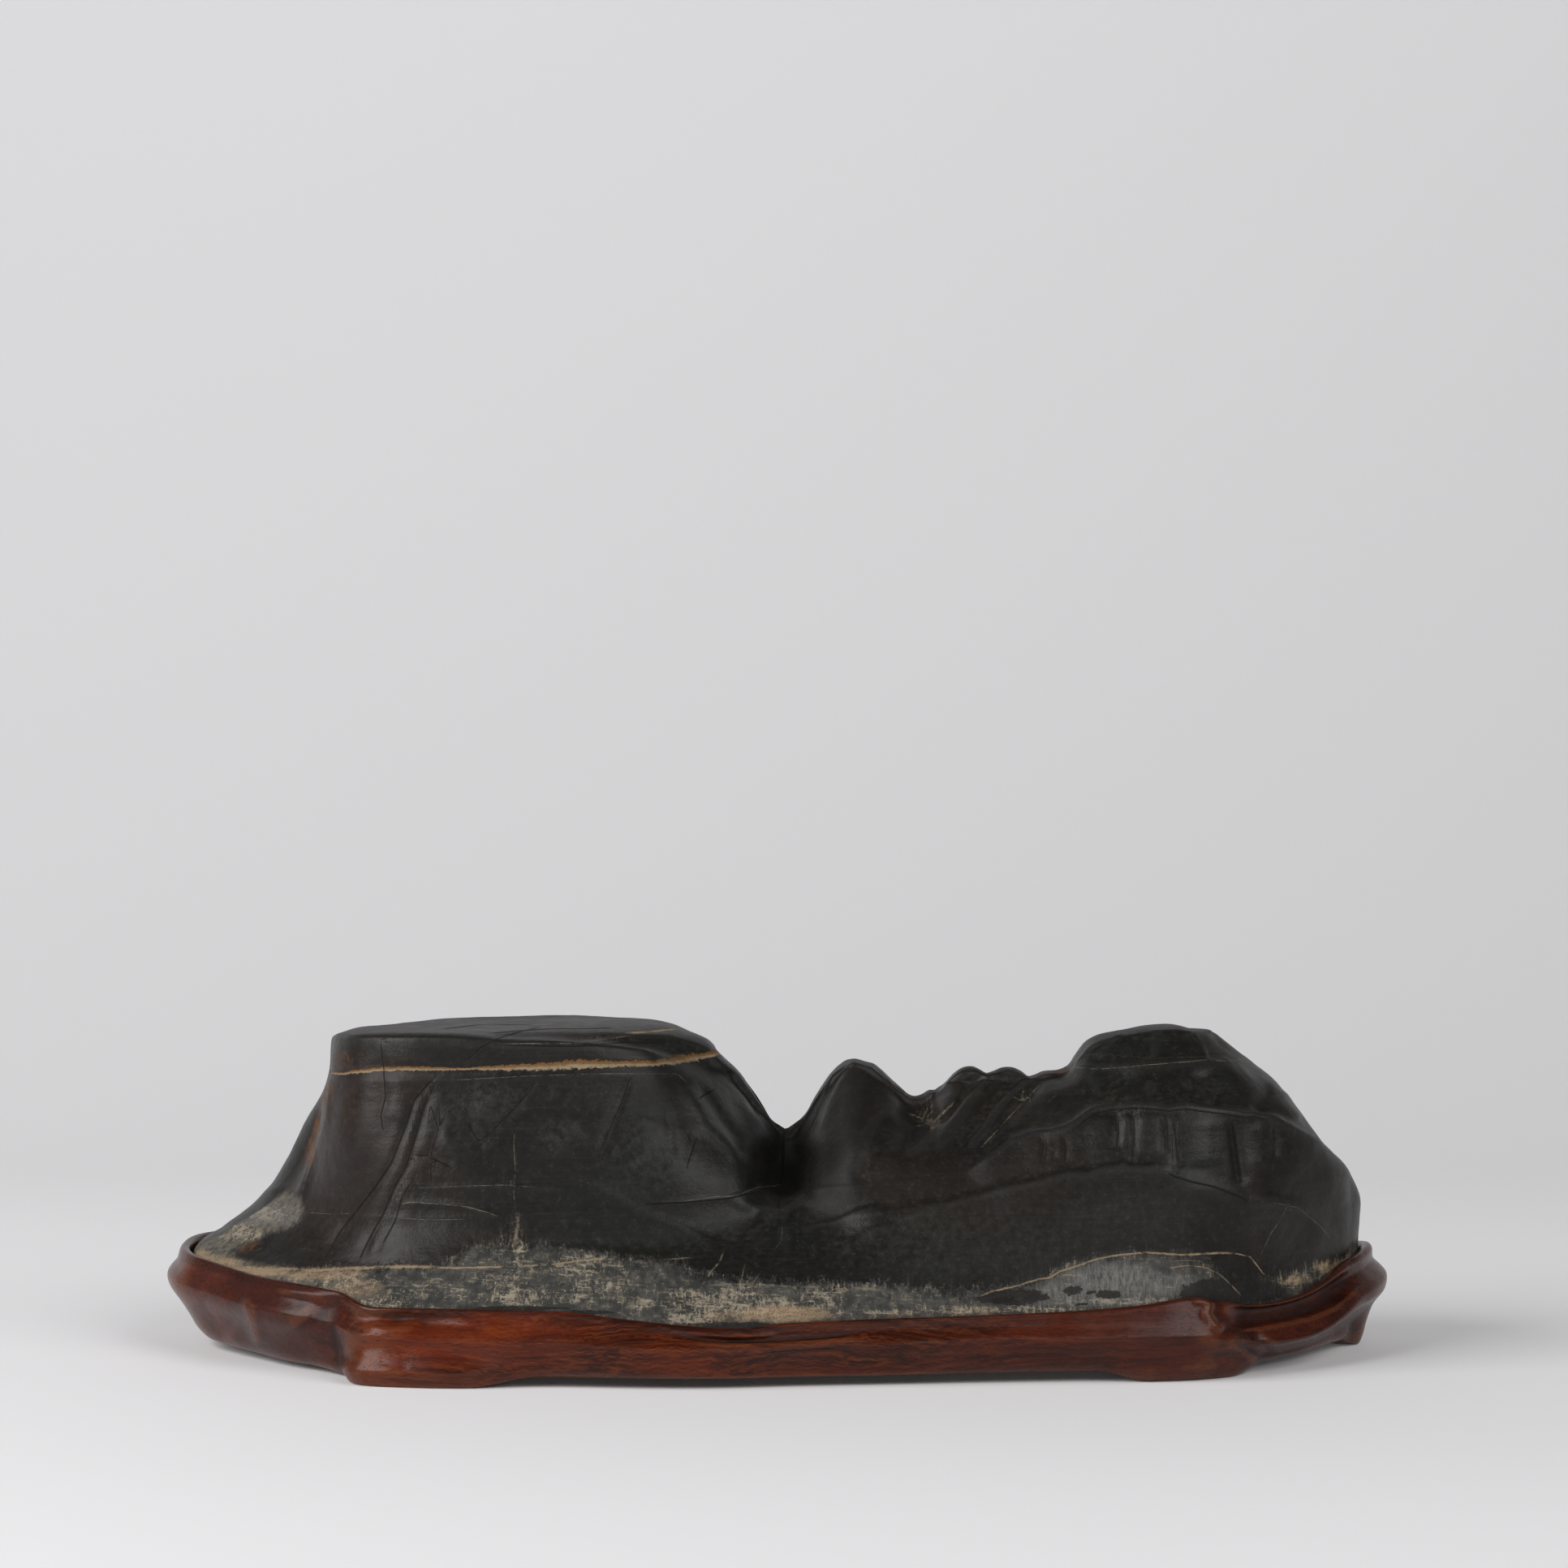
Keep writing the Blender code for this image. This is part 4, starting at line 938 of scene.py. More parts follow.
# The lower seams of the front, each with half of its thickness in millimetres.
LOWER_SEAMS: tuple[tuple[float, Path], ...] = (
    (0.5, ((322, 1566), (350, 1563), (380, 1565), (421, 1563), (469, 1561), (506, 1560), (540, 1561))),
    (0.32, ((530, 1561), (561, 1562), (625, 1560), (674, 1558), (700, 1555), (729, 1551), (750, 1551))),
    (0.3, ((1205, 1598), (1223, 1591), (1253, 1584), (1280, 1576), (1293, 1574), (1306, 1566), (1329, 1559),
           (1352, 1551), (1379, 1546), (1412, 1543), (1455, 1546), (1498, 1544), (1522, 1544))),
    (0.2, ((1500, 1544), (1522, 1544), (1541, 1549), (1548, 1558), (1561, 1574), (1568, 1578))),
    (0.16, ((1435, 1563), (1462, 1559), (1485, 1561), (1505, 1571), (1518, 1584), (1531, 1598))),
    (0.5, ((1622, 1572), (1646, 1560), (1660, 1551), (1672, 1544))),
    (0.35, ((768, 1272), (800, 1270), (838, 1266))),
)
REAR_SEAMS: tuple[tuple[float, Path], ...] = (
    (0.45, ((290, 1512), (360, 1518), (440, 1514), (530, 1522), (620, 1518), (700, 1524))),
    (0.35, ((760, 1536), (850, 1542), (960, 1538), (1040, 1546))),
    (0.4, ((1130, 1536), (1240, 1530), (1340, 1534), (1450, 1524), (1560, 1530))),
)
# The upper edge of the band that is worn pale, round the front from the left end to the right end.
WORN_EDGE: Path = (
    (215, 1534), (268, 1546), (312, 1556), (346, 1562), (380, 1564), (421, 1562), (506, 1559), (567, 1556),
    (570, 1538), (600, 1534), (640, 1531), (700, 1538), (760, 1547), (830, 1555), (870, 1572), (905, 1576),
    (960, 1580), (1080, 1583), (1204, 1592), (1249, 1584), (1294, 1571), (1325, 1555), (1373, 1546),
    (1421, 1544), (1470, 1548), (1507, 1572), (1531, 1600), (1550, 1607), (1566, 1580), (1610, 1558),
    (1690, 1541),
)
# The middle of a worn patch on the left flank.
WORN_PATCH: Path = ((352, 1490), (322, 1500), (295, 1513), (270, 1529), (246, 1542))
# Hairlines: half of the thickness in millimetres and the path. Pale ones are healed with calcite.
PALE_LINES: tuple[tuple[float, Path], ...] = (
    (0.1, ((506, 1464), (556, 1462), (618, 1460), (663, 1463))),
    (0.12, ((489, 1484), (506, 1481), (548, 1484), (576, 1487), (604, 1495), (629, 1505))),
    (0.08, ((374, 1494), (408, 1496), (441, 1495))),
    (0.08, ((492, 1501), (534, 1503), (576, 1502))),
    (0.1, ((634, 1391), (633, 1410), (635, 1440), (633, 1470), (635, 1493))),
    (0.5, ((636, 1490), (638, 1512), (634, 1530), (636, 1562))),
    (0.3, ((616, 1512), (620, 1530), (618, 1552))),
    (0.3, ((780, 1549), (774, 1566), (769, 1578), (766, 1590))),
    (0.2, ((803, 1553), (828, 1551), (854, 1549))),
    (0.3, ((733, 1599), (764, 1601), (805, 1606))),
    (0.4, ((813, 1600), (836, 1597), (856, 1594), (871, 1587))),
    (0.3, ((871, 1583), (905, 1582), (944, 1583), (980, 1585), (1015, 1586))),
    (0.4, ((1053, 1589), (1072, 1588), (1088, 1590))),
    (0.12, ((841, 1480), (885, 1474), (905, 1474), (933, 1463), (964, 1460))),
    (0.3, ((893, 1538), (887, 1554), (878, 1564), (866, 1582), (856, 1602), (852, 1614))),
    (0.22, ((918, 1556), (913, 1580), (909, 1596), (903, 1616), (898, 1631))),
    (0.26, ((938, 1567), (928, 1580), (925, 1600), (920, 1616), (914, 1631))),
    (0.2, ((1117, 1604), (1127, 1606), (1133, 1617))),
    (0.5, ((1150, 1610), (1180, 1611), (1210, 1608))),
    (0.08, ((1590, 1478), (1580, 1500), (1566, 1520), (1552, 1550))),
    (0.13, ((1288, 1330), (1273, 1345), (1240, 1380), (1206, 1417))),
    (0.08, ((1566, 1481), (1600, 1488), (1628, 1512), (1645, 1533))),
    (0.36, ((1147, 1348), (1148, 1372), (1147, 1396))),
    (0.34, ((1118, 1371), (1134, 1377), (1148, 1384), (1160, 1372), (1178, 1356))),
    (0.2, ((1130, 1354), (1140, 1369), (1148, 1384), (1154, 1396))),
    (0.18, ((1122, 1388), (1136, 1386), (1148, 1384), (1162, 1388))),
    (0.14, ((1258, 1358), (1262, 1338))),
    (0.12, ((1259, 1357), (1247, 1350))),
    (0.12, ((1257, 1357), (1272, 1349))),
    (0.08, ((560, 1331), (640, 1326), (728, 1323), (835, 1323), (849, 1337))),
    (0.16, ((616, 1286), (640, 1286), (712, 1285), (779, 1276))),
    (0.1, ((1318, 1314), (1350, 1317), (1384, 1315), (1412, 1312), (1454, 1309))),
    (0.14, ((1440, 1310), (1485, 1306), (1513, 1307), (1537, 1304))),
    (0.09, ((405, 1319), (404, 1345), (400, 1380), (389, 1413), (377, 1450), (370, 1473))),
    (0.08, ((964, 1508), (963, 1528), (952, 1542))),
)
# Dark lines: dark hairlines and streaks, and painted shade in the creases, the gorge and the flutes' grooves.
DARK_LINES: tuple[tuple[float, Path], ...] = (
    (0.2, ((1434, 1443), (1446, 1449), (1468, 1456), (1496, 1462), (1524, 1473), (1544, 1481))),
    (0.16, ((1325, 1388), (1336, 1380), (1350, 1371), (1370, 1367), (1398, 1365), (1420, 1366), (1440, 1369),
            (1460, 1366), (1490, 1370), (1513, 1373), (1532, 1377), (1546, 1376), (1566, 1381))),
    (0.14, ((1073, 1312), (1083, 1319), (1095, 1333), (1114, 1348))),
    (0.16, ((790, 1484), (841, 1482), (897, 1477), (914, 1473), (953, 1465))),
    (0.3, ((967, 1391), (964, 1443), (959, 1495))),
    (0.14, ((571, 1311), (596, 1289), (616, 1278), (672, 1264))),
    (0.16, ((884, 1341), (868, 1349), (858, 1356))),
    (0.14, ((575, 1376), (583, 1396), (590, 1407), (604, 1397), (636, 1365), (663, 1333))),
    (0.14, ((778, 1326), (765, 1362), (751, 1393), (740, 1424))),
    (0.14, ((860, 1398), (851, 1424), (846, 1442))),
    (0.2, ((1044, 1311), (1025, 1327), (1016, 1348), (1004, 1379), (995, 1397))),
    (0.2, ((538, 1326), (524, 1340), (510, 1357), (501, 1385), (494, 1403), (482, 1434), (463, 1462),
           (440, 1492), (417, 1520), (400, 1553))),
    (0.2, ((538, 1333), (524, 1361), (515, 1392), (508, 1415), (501, 1438), (487, 1462), (473, 1494),
           (456, 1525), (442, 1555))),
    (0.14, ((515, 1445), (496, 1473), (487, 1504), (470, 1536))),
    (0.14, ((508, 1423), (526, 1424), (561, 1441))),
    (0.1, ((552, 1366), (540, 1392), (531, 1424), (531, 1464))),
    (0.12, ((469, 1282), (473, 1324), (475, 1352), (469, 1375), (472, 1397))),
    (0.1, ((524, 1346), (534, 1372), (541, 1396))),
    (0.16, ((1378, 1372), (1378, 1395), (1376, 1426))),
    (0.16, ((1397, 1368), (1397, 1400), (1395, 1440))),
    (0.16, ((1432, 1374), (1434, 1396), (1438, 1424))),
    (0.22, ((1444, 1372), (1448, 1396), (1451, 1420), (1454, 1442))),
    (0.3, ((1518, 1378), (1522, 1404), (1526, 1434), (1530, 1460))),
    (0.12, ((1290, 1404), (1289, 1420), (1287, 1438))),
    (0.12, ((1312, 1398), (1313, 1416), (1312, 1440))),
    (0.12, ((620, 1287), (668, 1289), (715, 1289), (778, 1284), (815, 1285))),
    (0.12, ((540, 1268), (600, 1262), (660, 1263))),
    (0.12, ((600, 1273), (680, 1268), (760, 1266))),
    (0.12, ((424, 1276), (480, 1276), (548, 1277))),
    (0.14, ((1384, 1271), (1376, 1282), (1360, 1298))),
    (0.14, ((1401, 1268), (1408, 1284), (1420, 1300))),
    (0.14, ((1462, 1267), (1468, 1278), (1479, 1288))),
)
REAR_PALE_LINES: tuple[tuple[float, Path], ...] = (
    (0.14, ((380, 1440), (470, 1436), (560, 1444), (640, 1440))),
    (0.16, ((1090, 1400), (1130, 1430), (1150, 1468))),
    (0.12, ((1300, 1450), (1380, 1456), (1470, 1450), (1560, 1460))),
    (0.3, ((742, 1480), (740, 1510), (744, 1540))),
    (0.2, ((1220, 1392), (1206, 1380))),
    (0.2, ((1220, 1392), (1236, 1376))),
    (0.2, ((1221, 1391), (1222, 1416))),
)
# Painted shade in the rear's gullies.
REAR_DARK_LINES: tuple[tuple[float, Path], ...] = (
    (0.2, ((566, 1301), (575, 1330), (590, 1360), (582, 1395), (578, 1424), (596, 1462))),
    (0.18, ((742, 1301), (724, 1360), (738, 1396), (752, 1425))),
    (0.2, ((1410, 1388), (1408, 1414), (1414, 1442), (1410, 1476))),
)
# Soft patches of the front, in the view.
TAN_SPOTS: tuple[Spot, ...] = (
    Spot(240, 1552, 24, 16), Spot(268, 1556, 30, 10, 0.9), Spot(320, 1566, 46, 7),
    Spot(392, 1568, 60, 10, 0.8),
    Spot(440, 1588, 40, 14, 0.6), Spot(966, 1619, 60, 11), Spot(905, 1622, 40, 10, 0.6),
    Spot(1640, 1560, 22, 9, 0.9), Spot(1596, 1576, 26, 8, 0.7), Spot(1666, 1548, 16, 6, 0.8),
    Spot(1672, 1520, 8, 14, 0.4), Spot(1110, 1618, 30, 4, 0.5), Spot(1200, 1616, 50, 4, 0.5),
)
PALE_SPOTS: tuple[Spot, ...] = (
    Spot(325, 1495, 34, 9, 1.3), Spot(290, 1518, 30, 12, 1.3), Spot(420, 1580, 60, 12, 0.7),
    Spot(480, 1606, 36, 8, 1.0), Spot(520, 1590, 60, 14, 0.4), Spot(638, 1535, 12, 34, 0.8),
    Spot(617, 1535, 8, 26, 0.5), Spot(620, 1580, 30, 14, 0.6), Spot(640, 1596, 50, 14, 0.9),
    Spot(690, 1600, 30, 8, 0.9), Spot(720, 1560, 60, 12, 0.6), Spot(740, 1590, 60, 16, 0.5),
    Spot(790, 1606, 50, 6, 0.8), Spot(846, 1594, 22, 8, 1.0), Spot(860, 1616, 34, 22, 1.0),
    Spot(905, 1606, 34, 22, 0.9), Spot(945, 1612, 60, 14, 0.9), Spot(1012, 1600, 24, 16, 0.8),
    Spot(1034, 1598, 10, 20, 0.7), Spot(1100, 1617, 40, 4, 0.9), Spot(1190, 1614, 50, 5, 1.0),
    Spot(1280, 1613, 60, 4, 1.0), Spot(1400, 1604, 80, 5, 0.9), Spot(1590, 1574, 34, 9, 1.0),
    Spot(1640, 1562, 24, 7, 1.0), Spot(745, 1279, 38, 4, 0.9),
)
SILVER_SPOTS: tuple[Spot, ...] = (
    Spot(325, 1497, 44, 12, 0.8), Spot(1372, 1578, 56, 20), Spot(1316, 1590, 34, 12, 0.8),
    Spot(1440, 1584, 40, 14, 0.7),
    Spot(1360, 1604, 90, 6, 0.7),
)
# Chips in the scratched band, which show dark stone; the thin ones along the rim are painted shadow in the
# gap.
CHIP_AND_GAP_SHADOW_SPOTS: tuple[Spot, ...] = (
    Spot(1246, 1598, 42, 10), Spot(1322, 1590, 12, 5), Spot(1344, 1592, 6, 3), Spot(1366, 1595, 16, 5),
    Spot(1332, 1607, 8, 2.4), Spot(640, 1612, 62, 2.0, 1.2), Spot(720, 1617, 40, 2.0, 1.2),
    Spot(900, 1633, 60, 4, 0.9), Spot(1500, 1594, 44, 18), Spot(1552, 1590, 30, 14),
)
RUST_SPOTS: tuple[Spot, ...] = (
    Spot(421, 1306, 13, 12, 0.55), Spot(396, 1346, 6, 18, 1.3), Spot(389, 1378, 6, 26, 1.2),
    Spot(382, 1416, 6, 22, 1.0),
    Spot(430, 1366, 14, 34, 0.3),
    Spot(407, 1345, 5, 18, 0.6), Spot(470, 1316, 60, 6, 0.4), Spot(300, 1535, 22, 10, 0.7),
    Spot(1300, 1318, 20, 6, 0.6), Spot(1580, 1400, 30, 30, 0.2),
)
BROWN_SPOTS: tuple[Spot, ...] = (
    Spot(450, 1440, 110, 150, 0.9), Spot(560, 1540, 110, 30, 0.5), Spot(1180, 1440, 160, 90, 0.5),
    Spot(1600, 1480, 90, 110, 0.5), Spot(1130, 1360, 90, 60, 0.5),
)
GLOSS_SPOTS: tuple[Spot, ...] = (
    Spot(1012, 1350, 9, 26, 0.9), Spot(487, 1367, 9, 28), Spot(527, 1390, 12, 20),
    Spot(552, 1412, 8, 22), Spot(1362, 1402, 18, 30),
    Spot(1413, 1402, 15, 32), Spot(1480, 1406, 28, 34), Spot(1550, 1412, 10, 28), Spot(1460, 1343, 26, 13),
    Spot(1421, 1460, 20, 15), Spot(1472, 1522, 52, 16, 0.7), Spot(915, 1350, 18, 42),
    Spot(896, 1322, 14, 16), Spot(1452, 1575, 10, 6, 0.4), Spot(500, 1440, 26, 50, 0.6),
    Spot(440, 1290, 30, 12, 0.6), Spot(610, 1360, 44, 20, 0.4), Spot(680, 1400, 40, 16, 0.4),
)
# Paler patches: painted sheen and highlights on the faces, and stone rubbed a little paler.
SHEEN_AND_RUBBED_SPOTS: tuple[Spot, ...] = (
    Spot(602, 1358, 40, 26), Spot(684, 1398, 38, 18, 0.9), Spot(706, 1345, 40, 22, 0.5),
    Spot(800, 1420, 50, 50, 0.8), Spot(856, 1440, 40, 36, 0.7), Spot(548, 1400, 26, 40, 0.6),
    Spot(470, 1480, 60, 60, 0.4), Spot(1390, 1500, 90, 30, 0.5), Spot(1100, 1540, 90, 30, 0.4),
    Spot(1460, 1343, 40, 14, 0.5), Spot(912, 1362, 28, 34, 0.9), Spot(1023, 1474, 30, 16, 0.3),
    Spot(876, 1378, 20, 26, 0.6), Spot(840, 1400, 46, 60, 0.5),
    Spot(1200, 1525, 150, 40, 0.5),
)
# Painted shade: darker, duller places, most of them in the gorge and the hollows, where light is blocked.
SHADE_SPOTS: tuple[Spot, ...] = (
    Spot(962, 1440, 44, 46), Spot(932, 1400, 26, 30, 0.8), Spot(1000, 1440, 26, 44, 0.8),
    Spot(1030, 1462, 34, 34, 0.7), Spot(1060, 1390, 60, 60, 0.5), Spot(1420, 1290, 110, 26, 0.4),
    Spot(1180, 1440, 100, 50, 0.4), Spot(1618, 1460, 40, 80, 0.7), Spot(1560, 1360, 16, 22, 0.8),
    Spot(1522, 1420, 8, 44, 0.7), Spot(440, 1440, 40, 60, 0.5), Spot(820, 1350, 40, 40, 0.5),
    Spot(1020, 1450, 32, 50, 0.9),
)


def hollows(grid: np.ndarray, rounds: int) -> np.ndarray:
    """How far each point of a grid lies below the average of its surroundings, in millimetres.

    Args:
        grid: (rings, columns, 3) points.
        rounds: how many times neighbours are averaged: more rounds find broader hollows.

    Returns:
        The depths, negative on ridges.
    """
    soft = grid.copy()
    for _ in range(rounds):
        upright = np.concatenate([soft[:1], soft, soft[-1:]])
        beside = np.roll(soft, 1, axis=1) + np.roll(soft, -1, axis=1)
        soft = 0.25 * (upright[:-2] + upright[2:] + beside)
    return np.einsum("rcx,rcx->rc", soft - grid, grid_normals(grid))


@dataclass
class Stone:
    """The stone: a skin over its contour lines, carved with its lines of relief and then weathered."""

    recess_floor: float = 11.0
    seat_gap: float = 0.3
    bottom_in: float = 4.0
    shoulder_in: float = 0.6
    shoulder_up: float = 4.0
    brim_share: np.ndarray = field(default_factory=lambda: np.array([0.7, 0.1]))
    plain_share: float = 0.36
    brim_end: float = -30.0
    brim_turn: float = 20.0
    inner_share: float = 0.78
    inner_rise: float = 0.75
    relief_rise: float = 3.5
    relief_fade: float = 5.0
    rear_wear: float = 7.0
    rear_waves: tuple[Point2, ...] = ((2.5, 23.0), (1.5, 9.0))
    patch_reach: float = 6.5
    no_seam: float = 30.0
    hollow_rounds: int = 8
    dell_rounds: int = 80
    side_steps: tuple[Point3, ...] = ((-130, -60, 1.3), (-60, 110, 1.1), (110, 150, 1.3))
    right_steps: tuple[Point3, ...] = ((0, 60, 1.2), (60, 190, 2.0))
    left_steps: tuple[Point3, ...] = ((0, 120, 2.0), (120, 190, 1.1))
    level_knots: tuple[float, ...] = (0, 1, 2, 3, 4.6, 6, 6.45, 6.7, 7.2, 8, 8.8)
    row_steps: tuple[Point3, ...] = (
        (0, 1, 3), (1, 2, 16), (2, 3, 16), (3, 4.6, 30), (4.6, 6, 29), (6, 6.7, 14), (6.7, 7.2, 8),
        (7.2, 8, 16),
    )

    def profile(self, tracks: np.ndarray, toe: np.ndarray) -> np.ndarray:
        """The rings of the bare form, from its hidden shoulder up to the line of the spine.

        Args:
            tracks: the tracks of the columns.
            toe: (distance from the spine, height) of the toe line at each track.

        Returns:
            (rings, columns, 3) points.
        """
        seat = self.recess_floor + self.seat_gap
        level = np.full(len(tracks), seat + self.shoulder_up)
        shoulder = np.column_stack([toe[:, 0] - self.shoulder_in, level])
        crest_height = akima(*zip(*CREST), SPINE.rays(tracks)[0][:, 0])
        crest = np.column_stack([np.zeros(len(tracks)), crest_height])
        levels = [shoulder, toe] + [SPINE.contour(c, tracks) for c in (APRON, CLIFF_FOOT, FACE, BROW, EDGE)]
        crisp = ease((self.brim_end - SPINE.rays(tracks)[0][:, :1]) / self.brim_turn)
        share = self.brim_share * crisp + self.plain_share * (1 - crisp)
        levels.insert(-1, levels[-2] * share + levels[-1] * (1 - share))
        inner = levels[-1] * (self.inner_share, 1 - self.inner_rise) + crest * (0, self.inner_rise)
        levels += [inner, crest, inner * (-1, 1)]
        steps = [np.linspace(a, b, int(n), endpoint=False) for a, b, n in self.row_steps]
        curve = akima(self.level_knots, np.stack(levels), np.concatenate([*steps, [self.row_steps[-1][1]]]))
        return np.stack([SPINE.ring(tracks, row[:, 0], row[:, 1]) for row in curve])

    def facing(self, grid: np.ndarray, tracks: np.ndarray) -> np.ndarray:
        """1 on the front, 0 on the rear, with a soft turn over the spine."""
        across = grid[..., 1] - SPINE.rays(tracks)[0][None, :, 1]
        return ease(0.5 - across / (2 * self.relief_fade))

    def carved(self, grid: np.ndarray, tracks: np.ndarray, above: np.ndarray) -> np.ndarray:
        """The grid with its relief, which comes in above the seat."""
        places, front = EYE.view(grid), self.facing(grid, tracks)
        height = relief_height(FRONT_RELIEF, places) * front
        height += relief_height(REAR_RELIEF, places) * (1 - front)
        height *= ease(above / self.relief_rise)
        height[-1] = 0
        return grid + grid_normals(grid) * height[..., None]

    def top_seam(self, grid: np.ndarray) -> np.ndarray:
        """The height above the middle of the upper seam, in halves of its thickness."""
        at, middle, half = np.array(TOP_SEAM).T
        across = (grid[..., 2] - np.interp(grid[..., 0], at, middle)) / np.interp(grid[..., 0], at, half)
        return np.where(grid[..., 0] < at[-1], across, np.copysign(self.no_seam, across))

    def marks(self, grid: np.ndarray, tracks: np.ndarray, above: np.ndarray) -> dict[str, np.ndarray]:
        """The values that the weathering and the finish read, for every point of the grid.

        Args:
            grid: the carved rings.
            tracks: the tracks of the columns.
            above: each point's height above the seat, in millimetres.

        Returns:
            The values by the name of the mark.
        """
        places, front = EYE.view(grid), self.facing(grid, tracks)
        ahead = front > 0.5
        worn = -path_distance(WORN_EDGE, places)[0]
        behind = self.rear_wear + sum(size * np.sin(tracks / turn) for size, turn in self.rear_waves) - above
        patch = self.patch_reach - np.abs(path_distance(WORN_PATCH, places)[0])
        marks = {
            "rise": ease(above / self.relief_rise),
            "top_seam": self.top_seam(grid),
            "worn": np.maximum(worn, patch) * front + behind * (1 - front),
            "hollow": hollows(grid, self.hollow_rounds),
            "dell": hollows(grid, self.dell_rounds),
        }
        for name, fore, rear in (
            ("low_seam", LOWER_SEAMS, REAR_SEAMS),
            ("pale_line", PALE_LINES, REAR_PALE_LINES),
            ("dark_line", DARK_LINES, REAR_DARK_LINES),
        ):
            fore, rear = line_marks(name, fore, places), line_marks(name, rear, places)
            marks |= {key: np.where(ahead, fore[key], rear[key]) for key in fore}
        spots = {"tan": TAN_SPOTS, "pale": PALE_SPOTS, "silver": SILVER_SPOTS, "rust": RUST_SPOTS,
                 "brown": BROWN_SPOTS, "gloss": GLOSS_SPOTS, "chip": CHIP_AND_GAP_SHADOW_SPOTS, "shade": SHADE_SPOTS,
                 "rubbed": SHEEN_AND_RUBBED_SPOTS}
        for name, patches in spots.items():
            marks[name] = spot_mark(patches, places) * front
        return marks

    def weathering(self, finish: bpy.types.Material) -> Group:
        """The Geometry Nodes that wear the skin: long swells, shallow facets, bedding steps and grain.

        Args:
            finish: the stone's material.

        Returns:
            The group, ready to run on the skin.
        """
        group = Group("stone_weathering")
        kind = "NodeSocketFloat"
        swell = group.input("Swell height mm", kind, 0.55)
        facet = group.input("Facet depth mm", kind, 0.35)
        step = group.input("Bedding step mm", kind, 0.09)
        grain = group.input("Grain height mm", kind, 0.07)
        recess = group.input("Seam recess mm", kind, 0.45)
        chips = group.input("Worn chip depth mm", kind, 0.3)
        seed = group.input("Seed", kind, 4.0)
        place = group.moved(group.add("GeometryNodeInputPosition", {}, {}), (1000.0,) * 3)
        x, y, z = group.xyz(place)
        place = group.vector(x + seed * 37.0, y, z)
        bed = group.vector(x * 0.012, y * 0.012, (z - 0.028 * x) * 0.45 + group.noise(place, 0.03) * 0.8)
        height = (group.noise(place, 0.035, 3.0) - 0.5) * swell * 2.0
        height = height - group.cells(group.warped(place, 0.05, 8.0), 0.055).power(2.0) * facet
        height = height + (group.noise(bed, 1.0, 3.0) - 0.5) * step * 2.0
        height = height + (group.noise(place, 0.45, 4.0, 0.6) - 0.5) * grain * 2.0
        top, low = abs(group.read("top_seam")).step(1.6, 0.4), abs(group.read("low_seam")).step(1.8, 0.4)
        height = height - recess * (top + low * group.read("low_seam_near") * 0.5)
        band = group.read("worn").step(0.0, 2.0)
        height = height - chips * band * group.noise(place, 0.22, 5.0, 0.65).step(0.5, 0.75)
        height = height * group.read("rise") * MM
        normal = group.add("GeometryNodeInputNormal", {}, {})
        offset = group.add("ShaderNodeVectorMath", {"operation": "SCALE"}, {0: normal, "Scale": height})
        skin = group.add("GeometryNodeSetPosition", {}, {"Geometry": group.geometry, "Offset": offset})
        group.close(skin, finish)
        return group

    def build(self, finish: bpy.types.Material) -> bpy.types.Object:
        """Makes the stone.

        Args:
            finish: its material.

        Returns:
            The finished piece.
        """
        tracks = SPINE.columns(self.side_steps, self.right_steps, self.left_steps)
        toe = SPINE.contour(TOE, tracks)
        grid = self.profile(tracks, toe)
        above = grid[..., 2] - toe[:, 1]
        grid = self.carved(grid, tracks, above)
        marks = self.marks(grid, tracks, grid[..., 2] - toe[:, 1])
        level = np.full(len(tracks), self.recess_floor + self.seat_gap)
        bottom = SPINE.ring(tracks, toe[:, 0] - self.bottom_in, level)
        grid = np.concatenate([bottom[None], grid])
        marks = {name: np.concatenate([values[:1], values]) for name, values in marks.items()}
        mesh = welded(skin_mesh("stone_skin", grid, FOOTPRINT_MIDDLE, marks), WELD)
        mesh.materials.append(finish)
        stone = bpy.data.objects.new("stone_skin", mesh)
        bpy.context.scene.collection.objects.link(stone)
        return self.weathering(finish).apply(stone)


